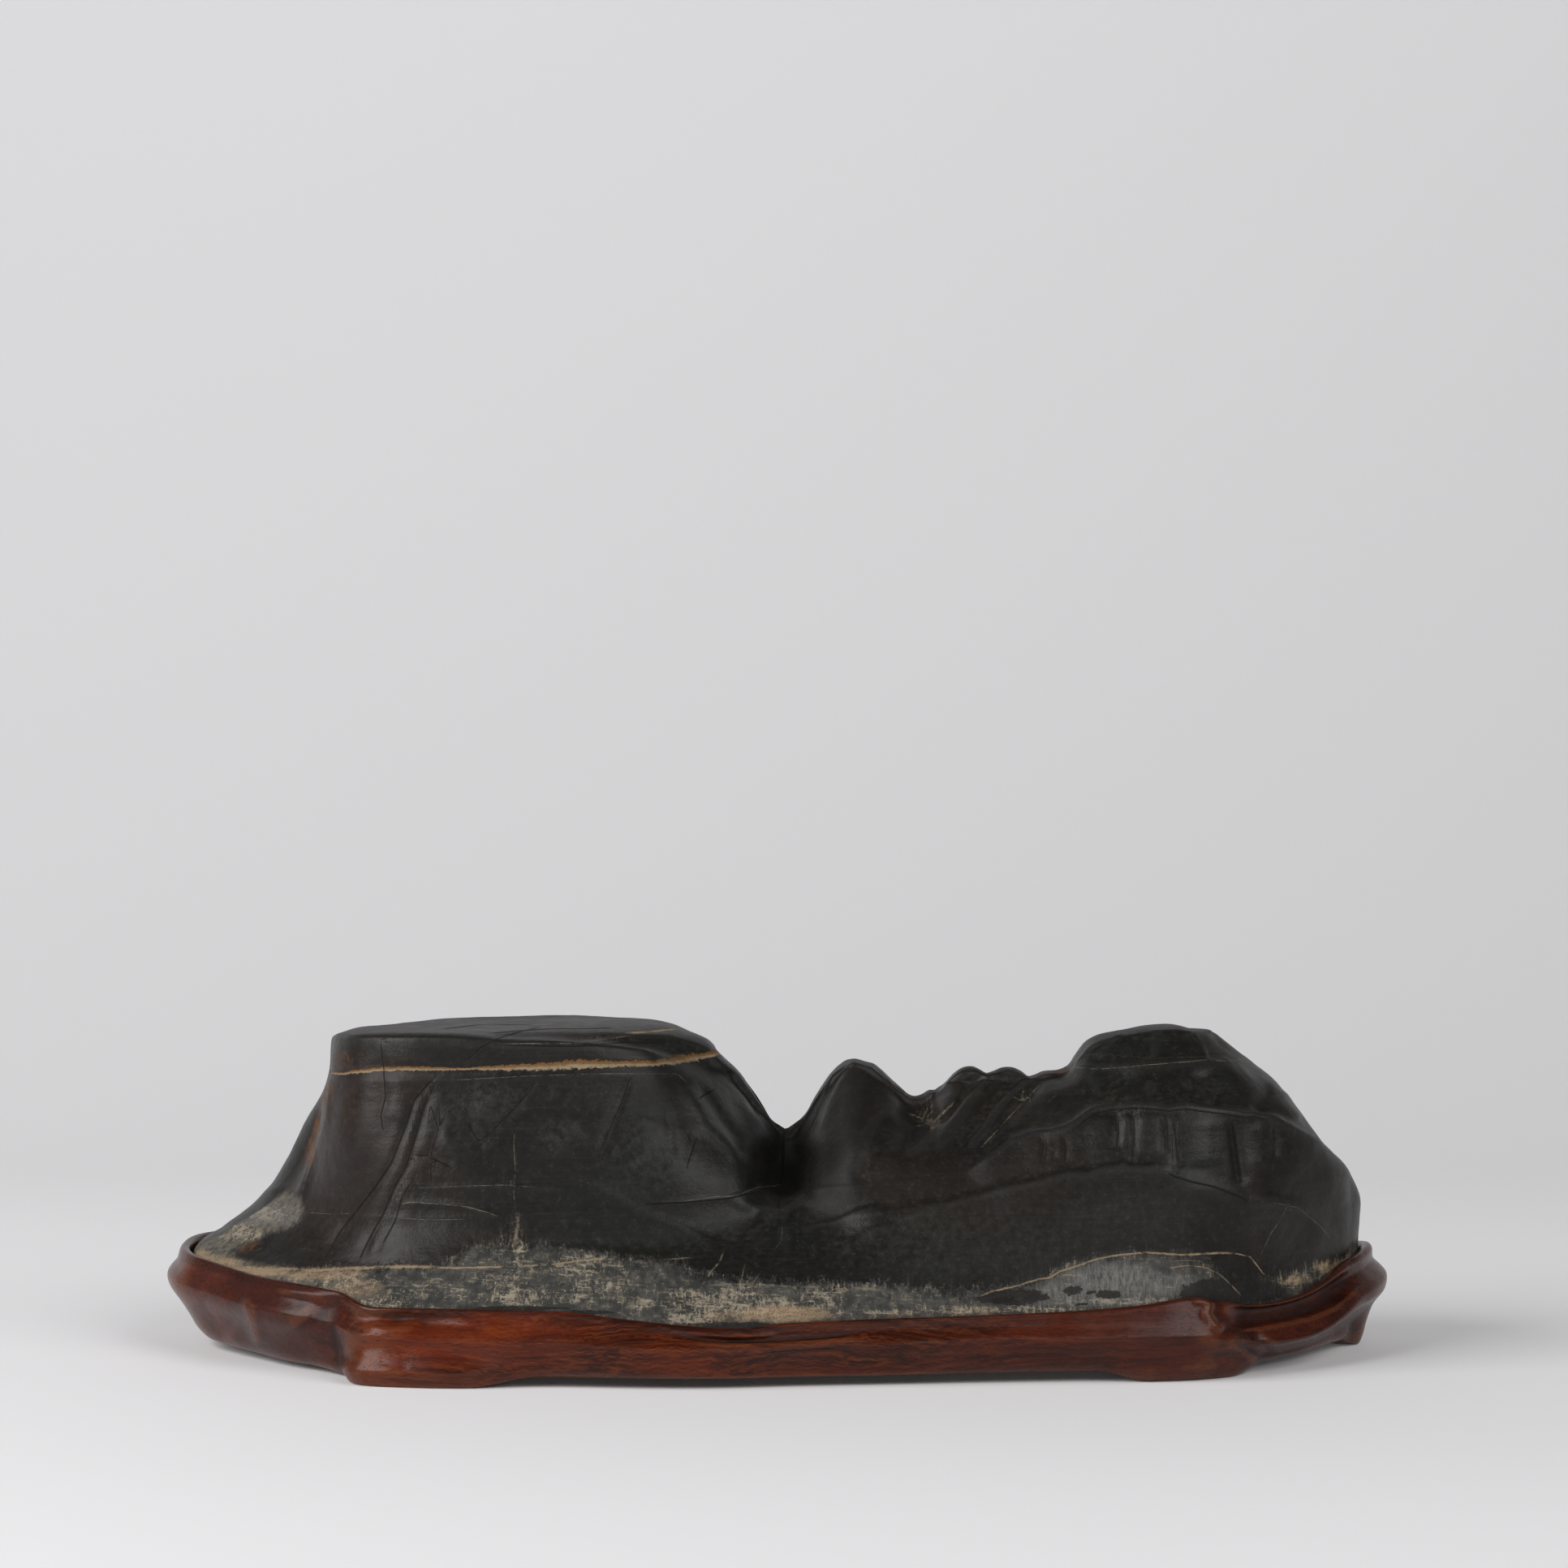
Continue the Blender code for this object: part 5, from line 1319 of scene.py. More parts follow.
@dataclass(frozen=True)
class StoneFinish:
    """Black slate polished by hands: satin faces, tan and cream seams, and a pale worn band at the seat."""

    black: Colour = (0.0090, 0.0076, 0.0066)
    green: Colour = (0.0074, 0.0078, 0.0060)
    brown: Colour = (0.0180, 0.0098, 0.0068)
    # The paler tone of the painted sheen and of rubbed stone.
    rubbed: Colour = (0.034, 0.035, 0.031)
    dust: Colour = (0.075, 0.066, 0.054)
    black_fleck_and_shade: Colour = (0.0035, 0.0032, 0.003)
    seam_cream: Colour = (0.27, 0.21, 0.135)
    seam_tan: Colour = (0.17, 0.088, 0.030)
    calcite: Colour = (0.26, 0.22, 0.15)
    worn_dark: Colour = (0.030, 0.031, 0.029)
    worn_grey: Colour = (0.074, 0.070, 0.061)
    worn_cream: Colour = (0.31, 0.268, 0.197)
    tan: Colour = (0.40, 0.28, 0.165)
    silver: Colour = (0.20, 0.20, 0.19)
    rust: Colour = (0.15, 0.058, 0.018)
    satin: float = 0.38

    def build(self) -> bpy.types.Material:
        """Builds the material."""
        s = Surface("satin_black_slate")
        p = s.moved(s.place, (1000.0,) * 3)
        x, y, z = s.xyz(p)
        cloud, mottle, mid = s.noise(p, 0.03, 4.0), s.noise(p, 0.16, 5.0, 0.6), s.noise(p, 0.4, 5.0, 0.65)
        speck, fine = s.noise(p, 0.9, 5.0, 0.65), s.noise(p, 2.4, 3.0, 0.6)
        bed = s.vector(x * 0.02, y * 0.02, (z - 0.028 * x) * 0.9)
        layer = s.noise(bed, 1.0, 4.0, 0.6)
        level = s.xyz(s.add("ShaderNodeNewGeometry", {}, {}, "Normal"))[2].step(0.72, 0.97)
        hollow, dell = s.read("hollow"), s.read("dell")

        colour = s.blend(cloud.step(0.38, 0.62), self.black, self.green)
        brown = (s.read("brown") * cloud.step(0.3, 0.55) + mottle.step(0.62, 0.78) * 0.4).least(1.0)
        colour = s.blend(brown, colour, self.brown)
        colour = s.blend(layer.step(0.5, 0.75) * 0.22, colour, self.worn_dark)
        colour = s.blend((mid * 0.6 + speck * 0.4).step(0.50, 0.62) * 0.20, colour, self.worn_dark)
        colour = s.blend((mid * 0.5 + fine * 0.5).step(0.50, 0.40) * 0.35, colour, self.black_fleck_and_shade)
        colour = s.blend((speck * 0.6 + fine * 0.4).step(0.54, 0.64) * 0.30, colour, self.brown)
        colour = s.blend(hollow.step(0.03, 0.2) * mid.step(0.4, 0.7) * 0.15, colour, self.dust)
        colour = s.blend(hollow.step(-0.04, -0.25) * 0.3, colour, self.worn_dark)
        colour = s.blend((speck * mid).step(0.33, 0.42) * 0.22, colour, self.dust)
        colour = s.blend(level * mottle.step(0.3, 0.7) * 0.12, colour, self.dust)
        # Painted shade: the deep hollows are darkened.
        colour = s.blend(dell.step(0.8, 3.0) * 0.5, colour, self.black_fleck_and_shade)
        # Painted sheen and highlights, with some rubbed stone: the spots paint a paler tone.
        sheen = s.read("rubbed") * (mid * 0.6 + fine * 0.4).step(0.40, 0.62)
        colour = s.blend(sheen * 0.55, colour, self.rubbed)
        # Painted shade: the shade spots darken the colour.
        shade = s.read("shade")
        colour = s.blend(shade * 0.55, colour, self.black_fleck_and_shade)

        rust = (s.read("rust") * (mid * 0.6 + speck * 0.4).step(0.36, 0.6)).step(0.1, 0.9)
        colour = s.blend(rust * 0.7, colour, self.rust)

        across = s.noise(s.vector(x * 0.16, y * 0.16, z * 1.25 + x * 0.05), 1.0, 5.0, 0.7)
        down = s.noise(s.vector(x * 1.15, y * 0.5, z * 0.15 + x * 0.08), 1.0, 5.0, 0.7)
        grit = s.noise(p, 1.5, 5.0, 0.72)
        pale, chip = s.read("pale"), s.read("chip")
        flank = x.step(-150.0, -172.0)
        ragged = (mottle - 0.5) * 8.0 + (speck - 0.5) * 5.0 + (down - 0.5) * 12.0
        edge = s.read("worn") + ragged * (1 - flank * 0.65)
        band = edge.step(-1.5, 2.0)
        wear = s.blend((mid * 0.5 + mottle * 0.5).step(0.40, 0.60), self.worn_dark, self.worn_grey)
        dense = pale * 0.10 + (mottle - 0.5) * 0.25 + (mid - 0.5) * 0.25
        scratch = (across.most(down) * 0.65 + grit * 0.35 + dense).step(0.56, 0.67)
        wear = s.blend((scratch * 0.92).most(flank * mid.step(0.3, 0.6) * 0.28), wear, self.worn_cream)
        silver = s.read("silver") * (down * 0.75 + grit * 0.25).step(0.34, 0.66)
        wear = s.blend(silver * 0.9, wear, self.silver)
        tan = (s.read("tan") + (mottle - 0.5) * 0.7 + (mid - 0.5) * 0.6).step(0.2, 1.0)
        wear = s.blend(tan * (grit * 0.6 + across * 0.4).step(0.3, 0.6) * 0.8, wear, self.tan)
        # Dark chips, and the thin painted shadow where the stone meets the stand.
        chips_and_gap_shadow = (chip + (mid - 0.5) * 1.6 + (speck - 0.5) * 1.0).step(0.38, 0.58)
        wear = s.blend(chips_and_gap_shadow * 0.85, wear, self.black)
        colour = s.blend(band, colour, wear)
        smear = pale * (1 - band) * (down * 0.6 + grit * 0.4).step(0.48, 0.66)
        colour = s.blend(smear * 0.32, colour, self.worn_cream)

        wobble = (speck - 0.5) * 2.2 + (mid - 0.5) * 2.2 + (mottle - 0.5) * 1.2
        top = s.read("top_seam")
        on_top = abs(top + wobble).step(1.25, 0.8)
        tanned = (mid * 0.5 + mottle * 0.5 + top * 0.35).step(0.36, 0.62)
        seam = s.blend(tanned, self.seam_cream, self.seam_tan)
        seam = s.blend(mid.step(0.50, 0.36) * 0.45, seam, self.rust)
        seam = s.blend((speck * 0.6 + mottle * 0.4).step(0.52, 0.66) * 0.5, seam, self.rust)
        colour = s.blend(on_top * speck.step(0.25, 0.42), colour, seam)
        on_low = abs(s.read("low_seam") + wobble).step(1.6, 0.5) * mottle.step(0.34, 0.5)
        on_low = on_low * s.read("low_seam_near")
        colour = s.blend(on_low * 0.85, colour, s.blend(mid.step(0.4, 0.7), self.seam_cream, self.tan))
        pale_line = abs(s.read("pale_line") + wobble * 0.6).step(1.8, 0.3)
        pale_line = pale_line * (speck * 0.5 + mottle * 0.5).step(0.4, 0.6) * s.read("pale_line_near")
        colour = s.blend(pale_line * 0.55, colour, self.calcite)
        # Dark hairlines, and painted shade in the creases and grooves.
        dark_line = abs(s.read("dark_line") + wobble * 0.4).step(2.2, 0.4) * s.read("dark_line_near")
        colour = s.blend(dark_line * 0.75, colour, self.black_fleck_and_shade)

        pale_parts = on_top.most(on_low).most(band)
        rough = self.satin + (cloud - 0.5) * 0.12 + (mottle - 0.5) * 0.24 + (mid - 0.5) * 0.20
        rough = rough - s.read("gloss") * 0.06 + dell.step(0.2, 1.2) * 0.08 + shade * 0.2 + level * 0.09
        rough = rough * (1 - pale_parts) + (0.66 + (speck - 0.5) * 0.2) * pale_parts
        rough = (rough + rust * 0.2 + dark_line * 0.2).most(0.2).least(0.9)

        s.bump(layer, 0.00012, 0.4)
        s.bump(mottle * 0.45 + mid * 0.35 + speck * 0.2, 0.0009, 0.45)
        s.bump(fine, 0.0001, 0.45)
        s.bump(band * (scratch * 0.5 + grit + down * 0.5 + mid * 0.6 - chips_and_gap_shadow), 0.0003, 0.7)
        s.bump(0 - dark_line - on_top * (1.2 - speck) - on_low * 0.5, 0.0004, 0.8)
        return s.finish({"Base Color": colour, "Roughness": rough, "IOR": 1.5, "Specular IOR Level": 0.235})


# ----------------------------------------------------------------------------------------------------
# The stand
# ----------------------------------------------------------------------------------------------------


@dataclass(frozen=True)
class Wall:
    """The stand's wall at one place: offsets are outwards from the toe line, drops are below its rim."""

    x: float
    y: float
    bead_out: float
    bead_drop: float
    groove: float
    skirt_out: float
    lip_up: float = 0.0
    base_up: float = 3.4


# The wall's section round the stand, from the left tip round the front.
WALLS: tuple[Wall, ...] = (
    Wall(-222, 30, 10.0, 7.5, 0.5, 0.6, 2.8, 4.4),
    Wall(-205, -12, 9.0, 8.0, 0.5, 0.2, 1.8, 3.0),
    Wall(-174, -45, 9.0, 9.0, 0.6, 0.4, 1.2, 1.8),
    Wall(-156, -58, 7.5, 10.0, 0.6, 1.0, 0.6, 2.4),
    Wall(-142, -70, 8.5, 9.5, 1.4, 8.0, 0.0, 3.0),
    Wall(-116, -74, 9.5, 10.0, 1.2, 9.0),
    Wall(-79, -78, 9.0, 10.0, 0.7, 6.5),
    Wall(-33, -81, 9.0, 8.0, 1.3, 6.5),
    Wall(0, -78, 8.5, 8.0, 1.7, 5.0),
    Wall(40, -74, 8.2, 8.0, 1.4, 4.5),
    Wall(66, -72, 8.0, 8.0, 0.8, 4.0),
    Wall(124, -67, 9.0, 11.0, 0.5, 3.5),
    Wall(145, -63, 9.5, 13.0, 0.4, 3.0),
    Wall(158, -56, 8.0, 12.0, 1.6, 1.0),
    Wall(183, -34, 10.0, 12.0, 2.2, -0.5, 0.4),
    Wall(210, 5, 11.2, 9.5, 1.8, -0.5, 1.6),
    Wall(214, 36, 10.0, 9.0, 0.9, 0.0, 1.4),
    Wall(140, 65, 9.0, 9.0, 0.8, 3.0, 0.5),
    Wall(60, 72, 8.6, 8.6, 1.3, 3.6),
    Wall(0, 76, 9.0, 9.0, 1.2, 4.0),
    Wall(-120, 87, 9.0, 9.0, 0.6, 3.0, 0.5),
    Wall(-206, 66, 9.0, 9.0, 0.5, 1.0, 1.6, 5.0),
)
# The feet: the middle on the toe line, half of the length that stands, and the length of each turn-up.
FEET: tuple[tuple[float, float, float, float], ...] = (
    (-126, -73, 16, 26), (143, -64, 14, 20), (214, 25, 6, 13), (96, 67, 12, 22), (-74, 84, 12, 22),
    (-194, 74, 8, 14),
)

# The carving of the wall, in the view.
FRONT_CARVING: tuple[Stroke, ...] = (
    # The left lobe: its long facet, the edge beside that and the valley that ends the lobe.
    Stroke(Form.ROUND, 3.0, 0.7, ((216, 1566), (240, 1564), (268, 1568), (300, 1576))),
    Stroke(Form.ROUND, 2.6, 0.9, ((330, 1586), (352, 1590), (384, 1593), (413, 1594)), 0.3),
    Stroke(Form.ROUND, 2.4, 0.8, ((300, 1597), (308, 1612), (314, 1634), (322, 1658))),
    Stroke(Form.ROUND, 7.0, -0.6, ((240, 1600), (262, 1620), (290, 1640))),
    Stroke(Form.ROUND, 8.0, -1.6, ((378, 1612), (402, 1638), (422, 1660), (434, 1686))),
    # The front-left foot: the ledge over its shoulder and the rounded edge of its face.
    Stroke(Form.ROUND, 3.0, 1.8, ((442, 1635), (466, 1639), (494, 1638), (526, 1632)), 0.35),
    Stroke(Form.ROUND, 6.0, -1.3, ((450, 1620), (490, 1623), (540, 1620), (580, 1616)), 0.35),
    Stroke(Form.ROUND, 3.0, 0.6, ((446, 1687), (470, 1691), (500, 1694)), 0.4),
    # The long front: shallow facets left by the gouge, and the groove under its bead.
    Stroke(Form.ROUND, 9.0, -0.5, ((600, 1622), (680, 1624), (770, 1634))),
    Stroke(Form.ROUND, 1.2, 0.8, ((830, 1641), (860, 1645), (900, 1647), (960, 1646), (1080, 1637)), 0.3),
    Stroke(Form.ROUND, 1.3, -1.2, ((816, 1644), (850, 1650), (900, 1653), (960, 1652), (1090, 1642)), 0.3),
    Stroke(Form.ROUND, 1.9, 1.5, ((816, 1651), (850, 1657), (900, 1660), (960, 1659), (1100, 1648)), 0.3),
    Stroke(Form.ROUND, 5.0, -1.8, ((830, 1670), (900, 1675), (960, 1674), (1090, 1664)), 0.3),
    Stroke(Form.ROUND, 8.0, -0.5, ((1120, 1640), (1220, 1636), (1330, 1630))),
    # The leaf-shaped edge over the front-right foot, and the hollow band that runs from it to the right end.
    Stroke(Form.ROUND, 1.7, 1.5, ((1468, 1599), (1482, 1601), (1489, 1608), (1486, 1620), (1496, 1634),
        (1510, 1639)), 0.12),
    Stroke(Form.ROUND, 5.0, -2.4, ((1508, 1618), (1552, 1616), (1604, 1603), (1642, 1584), (1664, 1564))),
    Stroke(Form.ROUND, 1.8, 0.9, ((1508, 1640), (1545, 1638), (1611, 1626), (1644, 1614), (1671, 1592),
        (1694, 1581))),
    Stroke(Form.ROUND, 3.4, 0.6, ((1440, 1688), (1472, 1684), (1510, 1686)), 0.4),
    Stroke(Form.ROUND, 5.5, -1.2, ((1540, 1672), (1548, 1658), (1560, 1648))),
)
REAR_CARVING: tuple[Stroke, ...] = (
    Stroke(Form.ROUND, 6.5, -1.5, ((486, 1510), (498, 1540), (480, 1580))),
    Stroke(Form.ROUND, 6.5, -1.4, ((852, 1520), (846, 1550), (850, 1590))),
    Stroke(Form.ROUND, 6.5, -1.5, ((1170, 1520), (1178, 1550), (1172, 1590))),
    Stroke(Form.ROUND, 7.0, -1.4, ((1430, 1520), (1424, 1550), (1430, 1590))),
    Stroke(Form.ROUND, 1.8, 1.2, ((520, 1520), (500, 1528), (492, 1544))),
    Stroke(Form.ROUND, 1.8, 1.2, ((1390, 1518), (1412, 1526), (1420, 1544))),
    Stroke(Form.ROUND, 9.0, -0.6, ((560, 1550), (640, 1552), (740, 1550))),
    Stroke(Form.ROUND, 9.0, -0.6, ((900, 1552), (1000, 1550), (1100, 1552))),
)


def outward(line: np.ndarray) -> np.ndarray:
    """The unit normals, in plan, of a closed line that runs anticlockwise."""
    along = np.roll(line, -1, axis=0) - np.roll(line, 1, axis=0)
    normal = np.column_stack([along[:, 1], -along[:, 0]])
    return normal / np.linalg.norm(normal, axis=1)[:, None]


@dataclass
class Stand:
    """The carved stand: a wall round the stone's foot, a recess and six feet in one with the wall."""

    recess_floor: float = 11.0
    wall_gap: float = 0.8
    undercut: float = 1.6
    foot_swell: float = 2.2
    foot_reach: float = 12.0
    carving_fade: float = 3.0
    front_turn: float = 20.0
    hollow_rounds: int = 6
    dell_rounds: int = 60
    rubbing: int = 60
    side_steps: tuple[Point3, ...] = ((-130, 150, 1.2),)
    end_steps: tuple[Point3, ...] = ((0, 190, 1.4),)
    section_steps: tuple[int, ...] = (2, 2, 3, 3, 6, 8, 9, 10, 9, 8, 8, 7, 6, 5)

    def foot_share(self, tracks: np.ndarray) -> np.ndarray:
        """1 where a foot stands on the table, 0 between feet, with a soft turn between."""
        share = np.zeros(len(tracks))
        for x, y, half, turn_up in FEET:
            apart = (tracks - SPINE.track_of(x, y)[0] + 0.5 * SPINE.track) % SPINE.track
            away = np.abs(apart - 0.5 * SPINE.track)
            share = np.maximum(share, ease((half + turn_up - away) / turn_up))
        return share

    def rubbed(self, curve: np.ndarray, share: np.ndarray) -> np.ndarray:
        """Rounds the outer wall's section off by averaging neighbouring rows, most where the share is 1."""
        first, last = sum(self.section_steps[:3]), sum(self.section_steps[:13])
        soft = curve.copy()
        for _ in range(self.rubbing):
            beside = soft[first - 1:last - 1] + soft[first + 1:last + 1]
            soft[first:last] = 0.5 * soft[first:last] + 0.25 * beside
        return curve + (soft - curve) * (0.15 + 0.85 * share)[None, :, None]

    def profile(self, tracks: np.ndarray) -> np.ndarray:
        """The rings of the wall, from the underside up the wall, over the rim and down to the recess floor.

        Args:
            tracks: the tracks of the columns.

        Returns:
            (rings, columns, 3) points.
        """
        toe = SPINE.contour(TOE, tracks)
        line = SPINE.ring(tracks, toe[:, 0], toe[:, 1])[:, :2]
        rim = toe[:, 1]
        places = [SPINE.track_of(w.x, w.y)[0] for w in WALLS]
        sections = [(w.bead_out, w.bead_drop, w.groove, w.skirt_out, w.lip_up, w.base_up) for w in WALLS]
        bead, drop, groove, skirt, lip, under = SPINE.round_curve(places, sections, tracks).T
        foot = self.foot_share(tracks)
        base, swell = under * (1 - foot), self.foot_swell * foot
        bead_height = rim - drop
        rise = bead_height - base
        tuck = self.undercut * (1 - foot)
        gap = np.full(len(tracks), self.wall_gap)
        section = [
            (skirt - self.foot_reach - 8.0, under),
            (skirt - self.foot_reach, under),
            (skirt - self.foot_reach + 0.6, base),
            (skirt + swell - 1.2 - tuck, base),
            (skirt + swell - 0.4 * tuck, base + 0.1 * rise),
            (skirt + 1.3 * swell + 0.3, base + 0.28 * rise),
            (0.6 * skirt + 0.4 * bead + 0.5 * swell, base + 0.55 * rise),
            (bead - 0.5, base + 0.82 * rise),
            (bead, bead_height),
            (bead - 1.2 - 0.4 * groove, bead_height + 2.2),
            (0.62 * bead - groove, rim - 0.42 * drop),
            (0.45 * bead + 0.3 * lip, rim - 0.8 + 0.7 * lip),
            (0.25 * bead + 0.9 + 0.4 * lip, rim + 0.3 + lip),
            (gap + 0.3 * lip, rim - 0.5 + 0.8 * lip),
            (gap, np.full(len(tracks), self.recess_floor)),
        ]
        knots = range(len(section))
        rows = [np.linspace(k, k + 1, n, endpoint=False) for k, n in enumerate(self.section_steps)]
        curve = akima(knots, np.stack([np.column_stack(s) for s in section]), np.concatenate([*rows, [14.0]]))
        curve = self.rubbed(curve, np.clip(1.2 - 0.8 * groove, 0, 1))
        normal = outward(line)
        return np.stack([np.column_stack([line + normal * row[:, :1], row[:, 1]]) for row in curve])

    def build(self, finish: bpy.types.Material) -> bpy.types.Object:
        """Makes the stand.

        Args:
            finish: its material.

        Returns:
            The finished piece.
        """
        tracks = SPINE.columns(self.side_steps, self.end_steps, self.end_steps)
        grid = self.profile(tracks)
        ahead = ease(0.5 - (grid[..., 1] - SPINE.rays(tracks)[0][None, :, 1]) / self.front_turn)
        places = EYE.view(grid)
        height = relief_height(FRONT_CARVING, places) * ahead
        height += relief_height(REAR_CARVING, places) * (1 - ahead)
        rim = SPINE.contour(TOE, tracks)[:, 1]
        grid[..., 2] = np.maximum(grid[..., 2], 0)
        low_fade = ease(grid[..., 2] / self.carving_fade - 1)
        outer = np.arange(len(grid)) < sum(self.section_steps[:12])
        height = height * low_fade * outer[:, None] * ease((rim + 0.6 - grid[..., 2]) / self.carving_fade)
        grid = grid + grid_normals(grid) * height[..., None]
        marks = {
            "hollow": hollows(grid, self.hollow_rounds),
            "dell": hollows(grid, self.dell_rounds),
            "below_rim": rim - grid[..., 2],
        }
        mesh = welded(skin_mesh("stand_skin", grid, FOOTPRINT_MIDDLE, marks), WELD)
        mesh.materials.append(finish)
        stand = bpy.data.objects.new("stand_skin", mesh)
        bpy.context.scene.collection.objects.link(stand)
        return stand


@dataclass(frozen=True)
class WoodFinish:
    """Dark rosewood with its grain along the stand, rubbed with lacquer to a satin gloss."""

    heart: Colour = (0.100, 0.0140, 0.0040)
    light: Colour = (0.190, 0.040, 0.0088)
    dark: Colour = (0.020, 0.0046, 0.0028)
    plum: Colour = (0.040, 0.012, 0.010)
    worn: Colour = (0.165, 0.052, 0.019)
    pore_and_hollow_shade: Colour = (0.008, 0.0028, 0.0018)
    polish: float = 0.27
    lacquer: float = 0.12

    def build(self) -> bpy.types.Material:
        """Builds the material."""
        s = Surface("lacquered_rosewood")
        p = s.warped(s.moved(s.place, (1000.0,) * 3), 0.012, 16.0)
        x, y, z = s.xyz(p)
        ring = s.noise(s.vector(x * 0.006, y * 0.10, z * 0.13), 1.0, 3.0, 0.5)
        streak = s.noise(s.vector(x * 0.022, y * 0.55, z * 0.65), 1.0, 5.0, 0.62)
        fibre = s.noise(s.vector(x * 0.09, y * 2.2, z * 2.4), 1.0, 4.0, 0.6)
        pores = s.noise(s.vector(x * 0.22, y * 3.6, z * 3.6), 1.0, 2.0, 0.5)
        bent = z + (x * 1.1).sine() * 0.45
        ripple = s.noise(s.vector(x * 0.02, y * 1.2, bent * 1.6), 1.0, 3.0, 0.5)
        cloud = s.noise(p, 0.02, 3.0)
        hollow, dell = s.read("hollow"), s.read("dell")

        colour = s.blend(ring.step(0.35, 0.65), self.dark, self.heart)
        colour = s.blend((streak * 0.6 + ripple * 0.4).step(0.42, 0.68) * 0.66, colour, self.light)
        colour = s.blend(fibre.step(0.5, 0.75) * 0.35, colour, self.light)
        colour = s.blend(streak.step(0.46, 0.30) * 0.42, colour, self.dark)
        along = s.xyz(s.place)[0]
        left = along.step(-0.130, -0.190)
        colour = s.blend((left * 0.6 + cloud.step(0.55, 0.7) * 0.25).least(0.8), colour, self.plum)
        # Darker towards the right end.
        colour = s.blend(along.step(-0.04, 0.19) * 0.62, colour, self.dark)
        dusky = along.step(-0.138, -0.153) * along.step(-0.206, -0.190)
        colour = s.blend(dusky * 0.45, colour, self.dark)
        edge = hollow.step(-0.04, -0.22) * (0.35 + streak * 0.6)
        colour = s.blend(edge * 0.48, colour, self.worn)
        # Painted shade: small hollows of the carving are darkened.
        colour = s.blend(hollow.step(0.05, 0.3) * 0.55, colour, self.pore_and_hollow_shade)
        # Painted shade: the rim top and the wood just under it, where the stone meets the stand.
        colour = s.blend(s.read("below_rim").step(2.5, 0.2) * 0.35, colour, self.dark)
        on_pore = pores.step(0.60, 0.68) * ring.step(0.3, 0.6)
        colour = s.blend(on_pore * 0.75, colour, self.pore_and_hollow_shade)

        rough = self.polish + (cloud - 0.5) * 0.12 + (fibre - 0.5) * 0.14 + on_pore * 0.2
        rough = rough + hollow.step(0.05, 0.3) * 0.15 + dell.step(0.3, 1.5) * 0.05
        s.bump(fibre, 0.00012, 0.5)
        s.bump(streak, 0.0002, 0.4)
        s.bump(0 - on_pore, 0.0001, 0.6)
        s.bump(s.noise(s.moved(s.place, (1000.0,) * 3), 0.14, 3.0), 0.0006, 0.4)
        shine = self.lacquer + (cloud - 0.5) * 0.2
        return s.finish({
            "Base Color": colour, "Roughness": rough.most(0.18).least(0.7), "Coat Weight": shine.most(0.05),
            "Coat Roughness": 0.15, "IOR": 1.48, "Specular IOR Level": 0.18,
        })


# ----------------------------------------------------------------------------------------------------
# The studio
# ----------------------------------------------------------------------------------------------------


@dataclass(frozen=True)
class Lamp:
    """A soft box: its place, what it points at, its two sides in metres, its power in watts and its tint."""

    name: str
    place: Point3
    target: Point3
    sides: Point2
    power: float
    tint: Colour = (1.0, 1.0, 1.0)


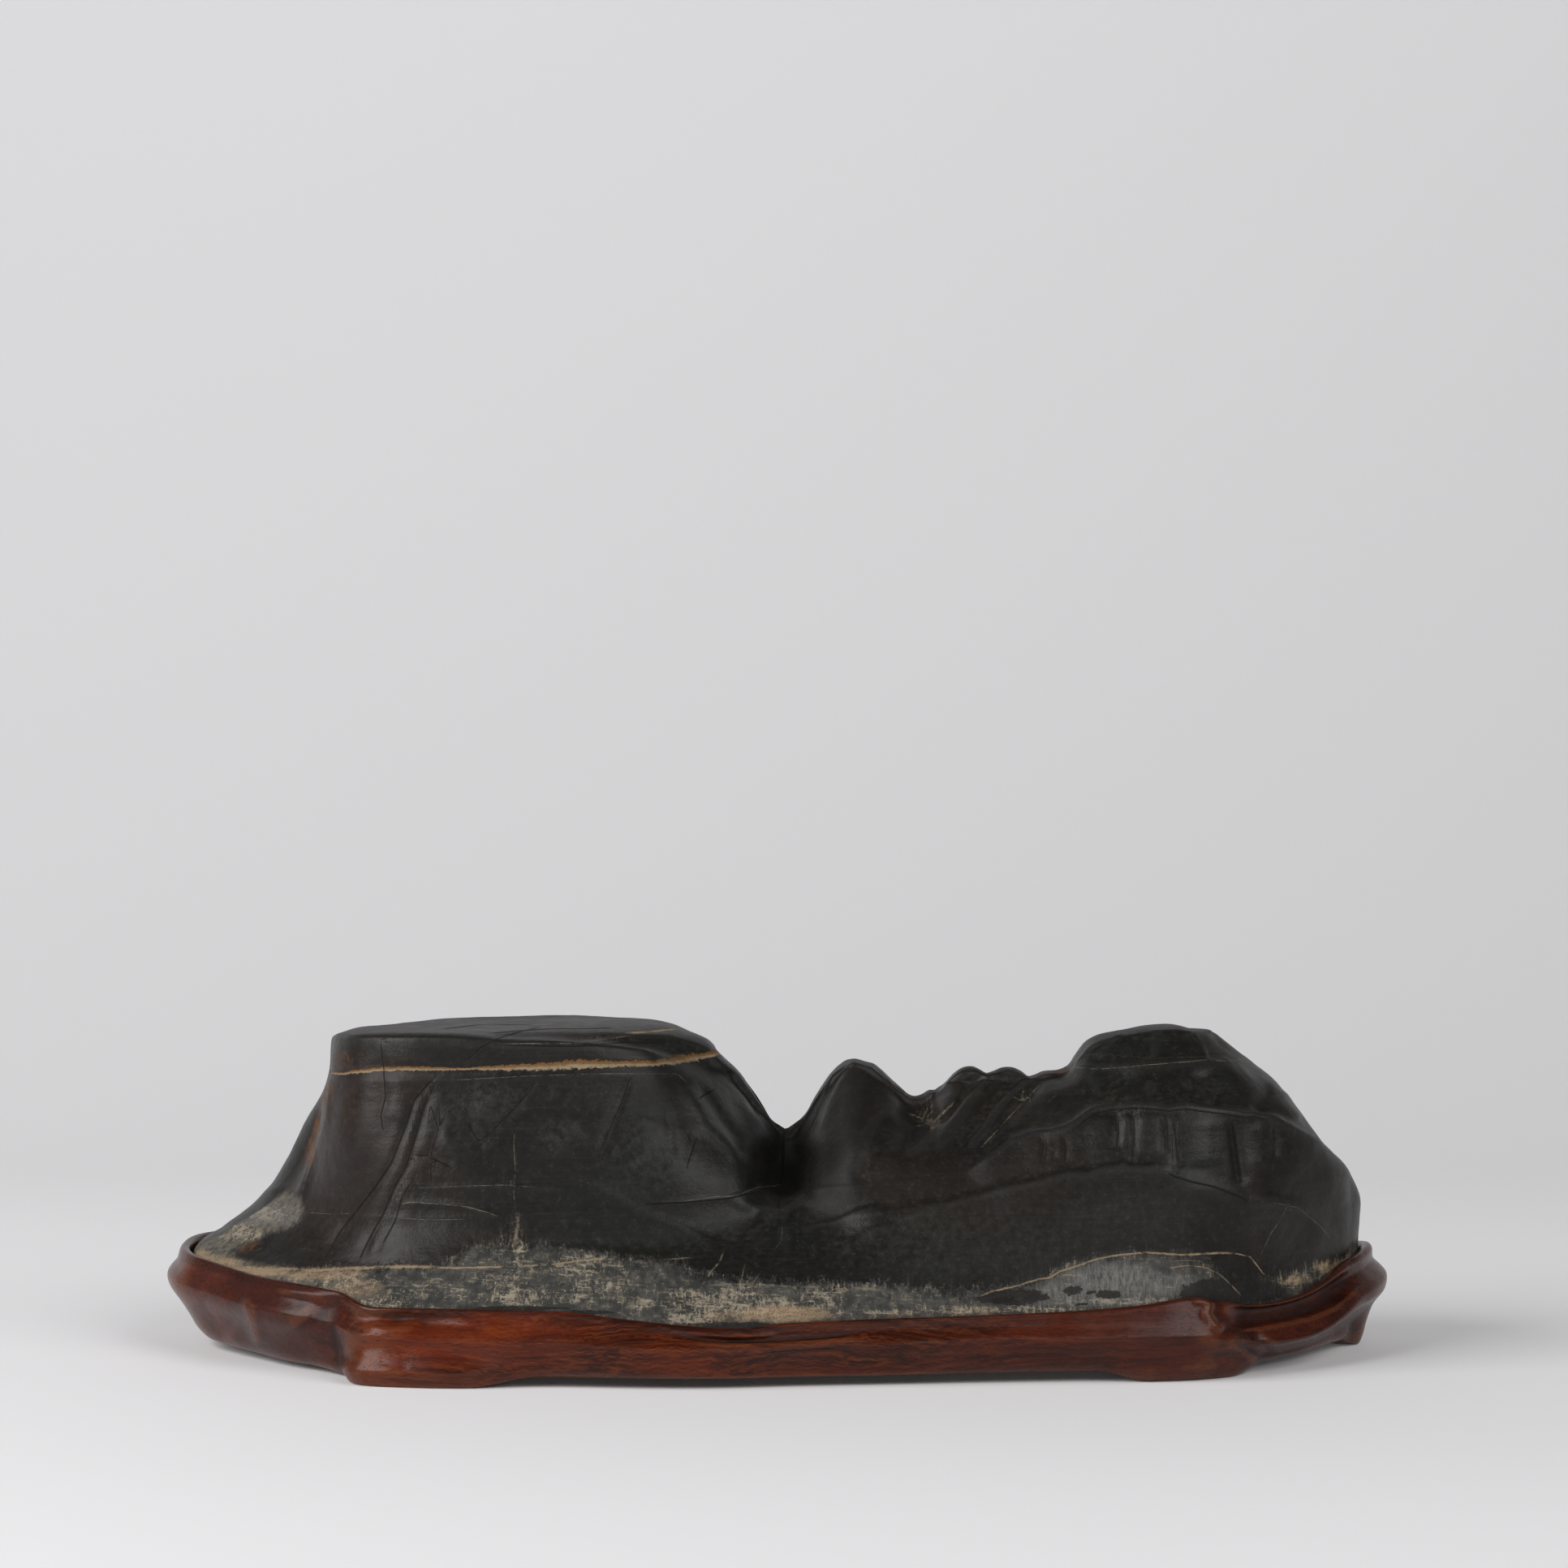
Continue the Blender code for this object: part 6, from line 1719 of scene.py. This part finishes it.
@dataclass
class Studio:
    """A pale sweep of paper, soft boxes, and the camera at the eye."""

    half_width: float = 3.5
    front_edge: float = -3.0
    bend_start: float = 0.62
    bend_radius: float = 0.9
    height: float = 1.1
    lens: float = 83.85
    sensor: float = 36.0
    clip: Point2 = (0.05, 30.0)
    lamps: tuple[Lamp, ...] = (
        Lamp("left_box", (-1.35, -0.8, 1.0), (0.0, 0.0, 0.05), (1.3, 1.1), 27.0, (1.0, 0.985, 0.985)),
        Lamp("right_box", (1.1, -1.1, 1.15), (0.0, 0.0, 0.05), (1.3, 1.1), 15.5, (1.0, 0.99, 0.985)),
        Lamp("front_card", (0.0, -3.2, 0.45), (0.0, 0.0, 0.06), (2.4, 0.9), 8.0, (1.0, 0.99, 0.97)),
    )
    ambient: float = 0.085
    glow: float = 0.21

    def paper(self) -> bpy.types.Material:
        """The finish of the sweep: matt white, and lit a little from behind where it turns up."""
        s = Surface("white_sweep_paper")
        far = s.xyz(s.place)[1].step(-0.15, 0.35)
        colour = s.blend(far, (0.92, 0.92, 0.935), (0.70, 0.70, 0.715))
        glow = s.blend(far, (0.0, 0.0, 0.0), (1.0, 1.0, 1.0))
        return s.finish({"Base Color": colour, "Roughness": 0.85, "Specular IOR Level": 0.2,
                         "Emission Color": glow, "Emission Strength": self.glow})

    def sweep(self) -> bpy.types.Object:
        """The floor, which bends up into the backdrop."""
        turn = np.linspace(0, 0.5 * math.pi, 25)
        bend = np.column_stack([self.bend_start + self.bend_radius * np.sin(turn),
                                self.bend_radius * (1 - np.cos(turn))])
        far_edge = self.bend_start + self.bend_radius
        line = np.vstack([(self.front_edge, 0.0), bend, (far_edge, self.height)])
        points = [(x, y, z) for y, z in line for x in (-self.half_width, self.half_width)]
        faces = [(i, i + 1, i + 3, i + 2) for i in range(0, len(points) - 2, 2)]
        mesh = bpy.data.meshes.new("sweep")
        mesh.from_pydata(points, [], faces)
        mesh.shade_smooth()
        mesh.materials.append(self.paper())
        sweep = bpy.data.objects.new("sweep", mesh)
        bpy.context.scene.collection.objects.link(sweep)
        return sweep

    @staticmethod
    def aimed(thing: bpy.types.Object, place: Point3, target: Point3) -> bpy.types.Object:
        """Puts a lamp or a camera in its place, pointing at the target."""
        thing.location = place
        thing.rotation_euler = (Vector(target) - Vector(place)).to_track_quat("-Z", "Y").to_euler()
        bpy.context.scene.collection.objects.link(thing)
        return thing

    def build(self) -> None:
        """Makes the sweep, the lamps, the ambient light and the camera."""
        scene = bpy.context.scene
        scene.view_settings.view_transform = "Standard"
        self.sweep()
        for lamp in self.lamps:
            light = bpy.data.lights.new(lamp.name, "AREA")
            light.shape, light.energy, light.color = "RECTANGLE", lamp.power, lamp.tint
            light.size, light.size_y = lamp.sides
            self.aimed(bpy.data.objects.new(lamp.name, light), lamp.place, lamp.target)
        world = bpy.data.worlds.new("soft_room")
        world.use_nodes = True
        background = world.node_tree.nodes["Background"]
        background.inputs["Color"].default_value = (1.0, 1.0, 1.0, 1.0)
        background.inputs["Strength"].default_value = self.ambient
        scene.world = world
        camera = bpy.data.cameras.new("camera")
        camera.lens, camera.sensor_width = self.lens, self.sensor
        camera.clip_start, camera.clip_end = self.clip
        eye = (-FOOTPRINT_MIDDLE[0] * MM, (EYE.y - FOOTPRINT_MIDDLE[1]) * MM, EYE.z * MM)
        ahead = (eye[0], 0.0, eye[2])
        scene.camera = self.aimed(bpy.data.objects.new("camera", camera), eye, ahead)


# ----------------------------------------------------------------------------------------------------
# The whole
# ----------------------------------------------------------------------------------------------------


def main() -> None:
    """Builds the stone, the stand and the studio."""
    logging.basicConfig(level=logging.INFO, format="%(name)s: %(message)s")
    pieces = (
        (Stone().build(StoneFinish().build()), "stone", "stone"),
        (Stand().build(WoodFinish().build()), "stand", "rosewood"),
    )
    for piece, node, slot in pieces:
        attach(piece, "root")
        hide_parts(node)
        log.info("%s: %d faces", piece.name, len(piece.data.polygons))
    Studio().build()


if __name__ == "__main__":
    main()
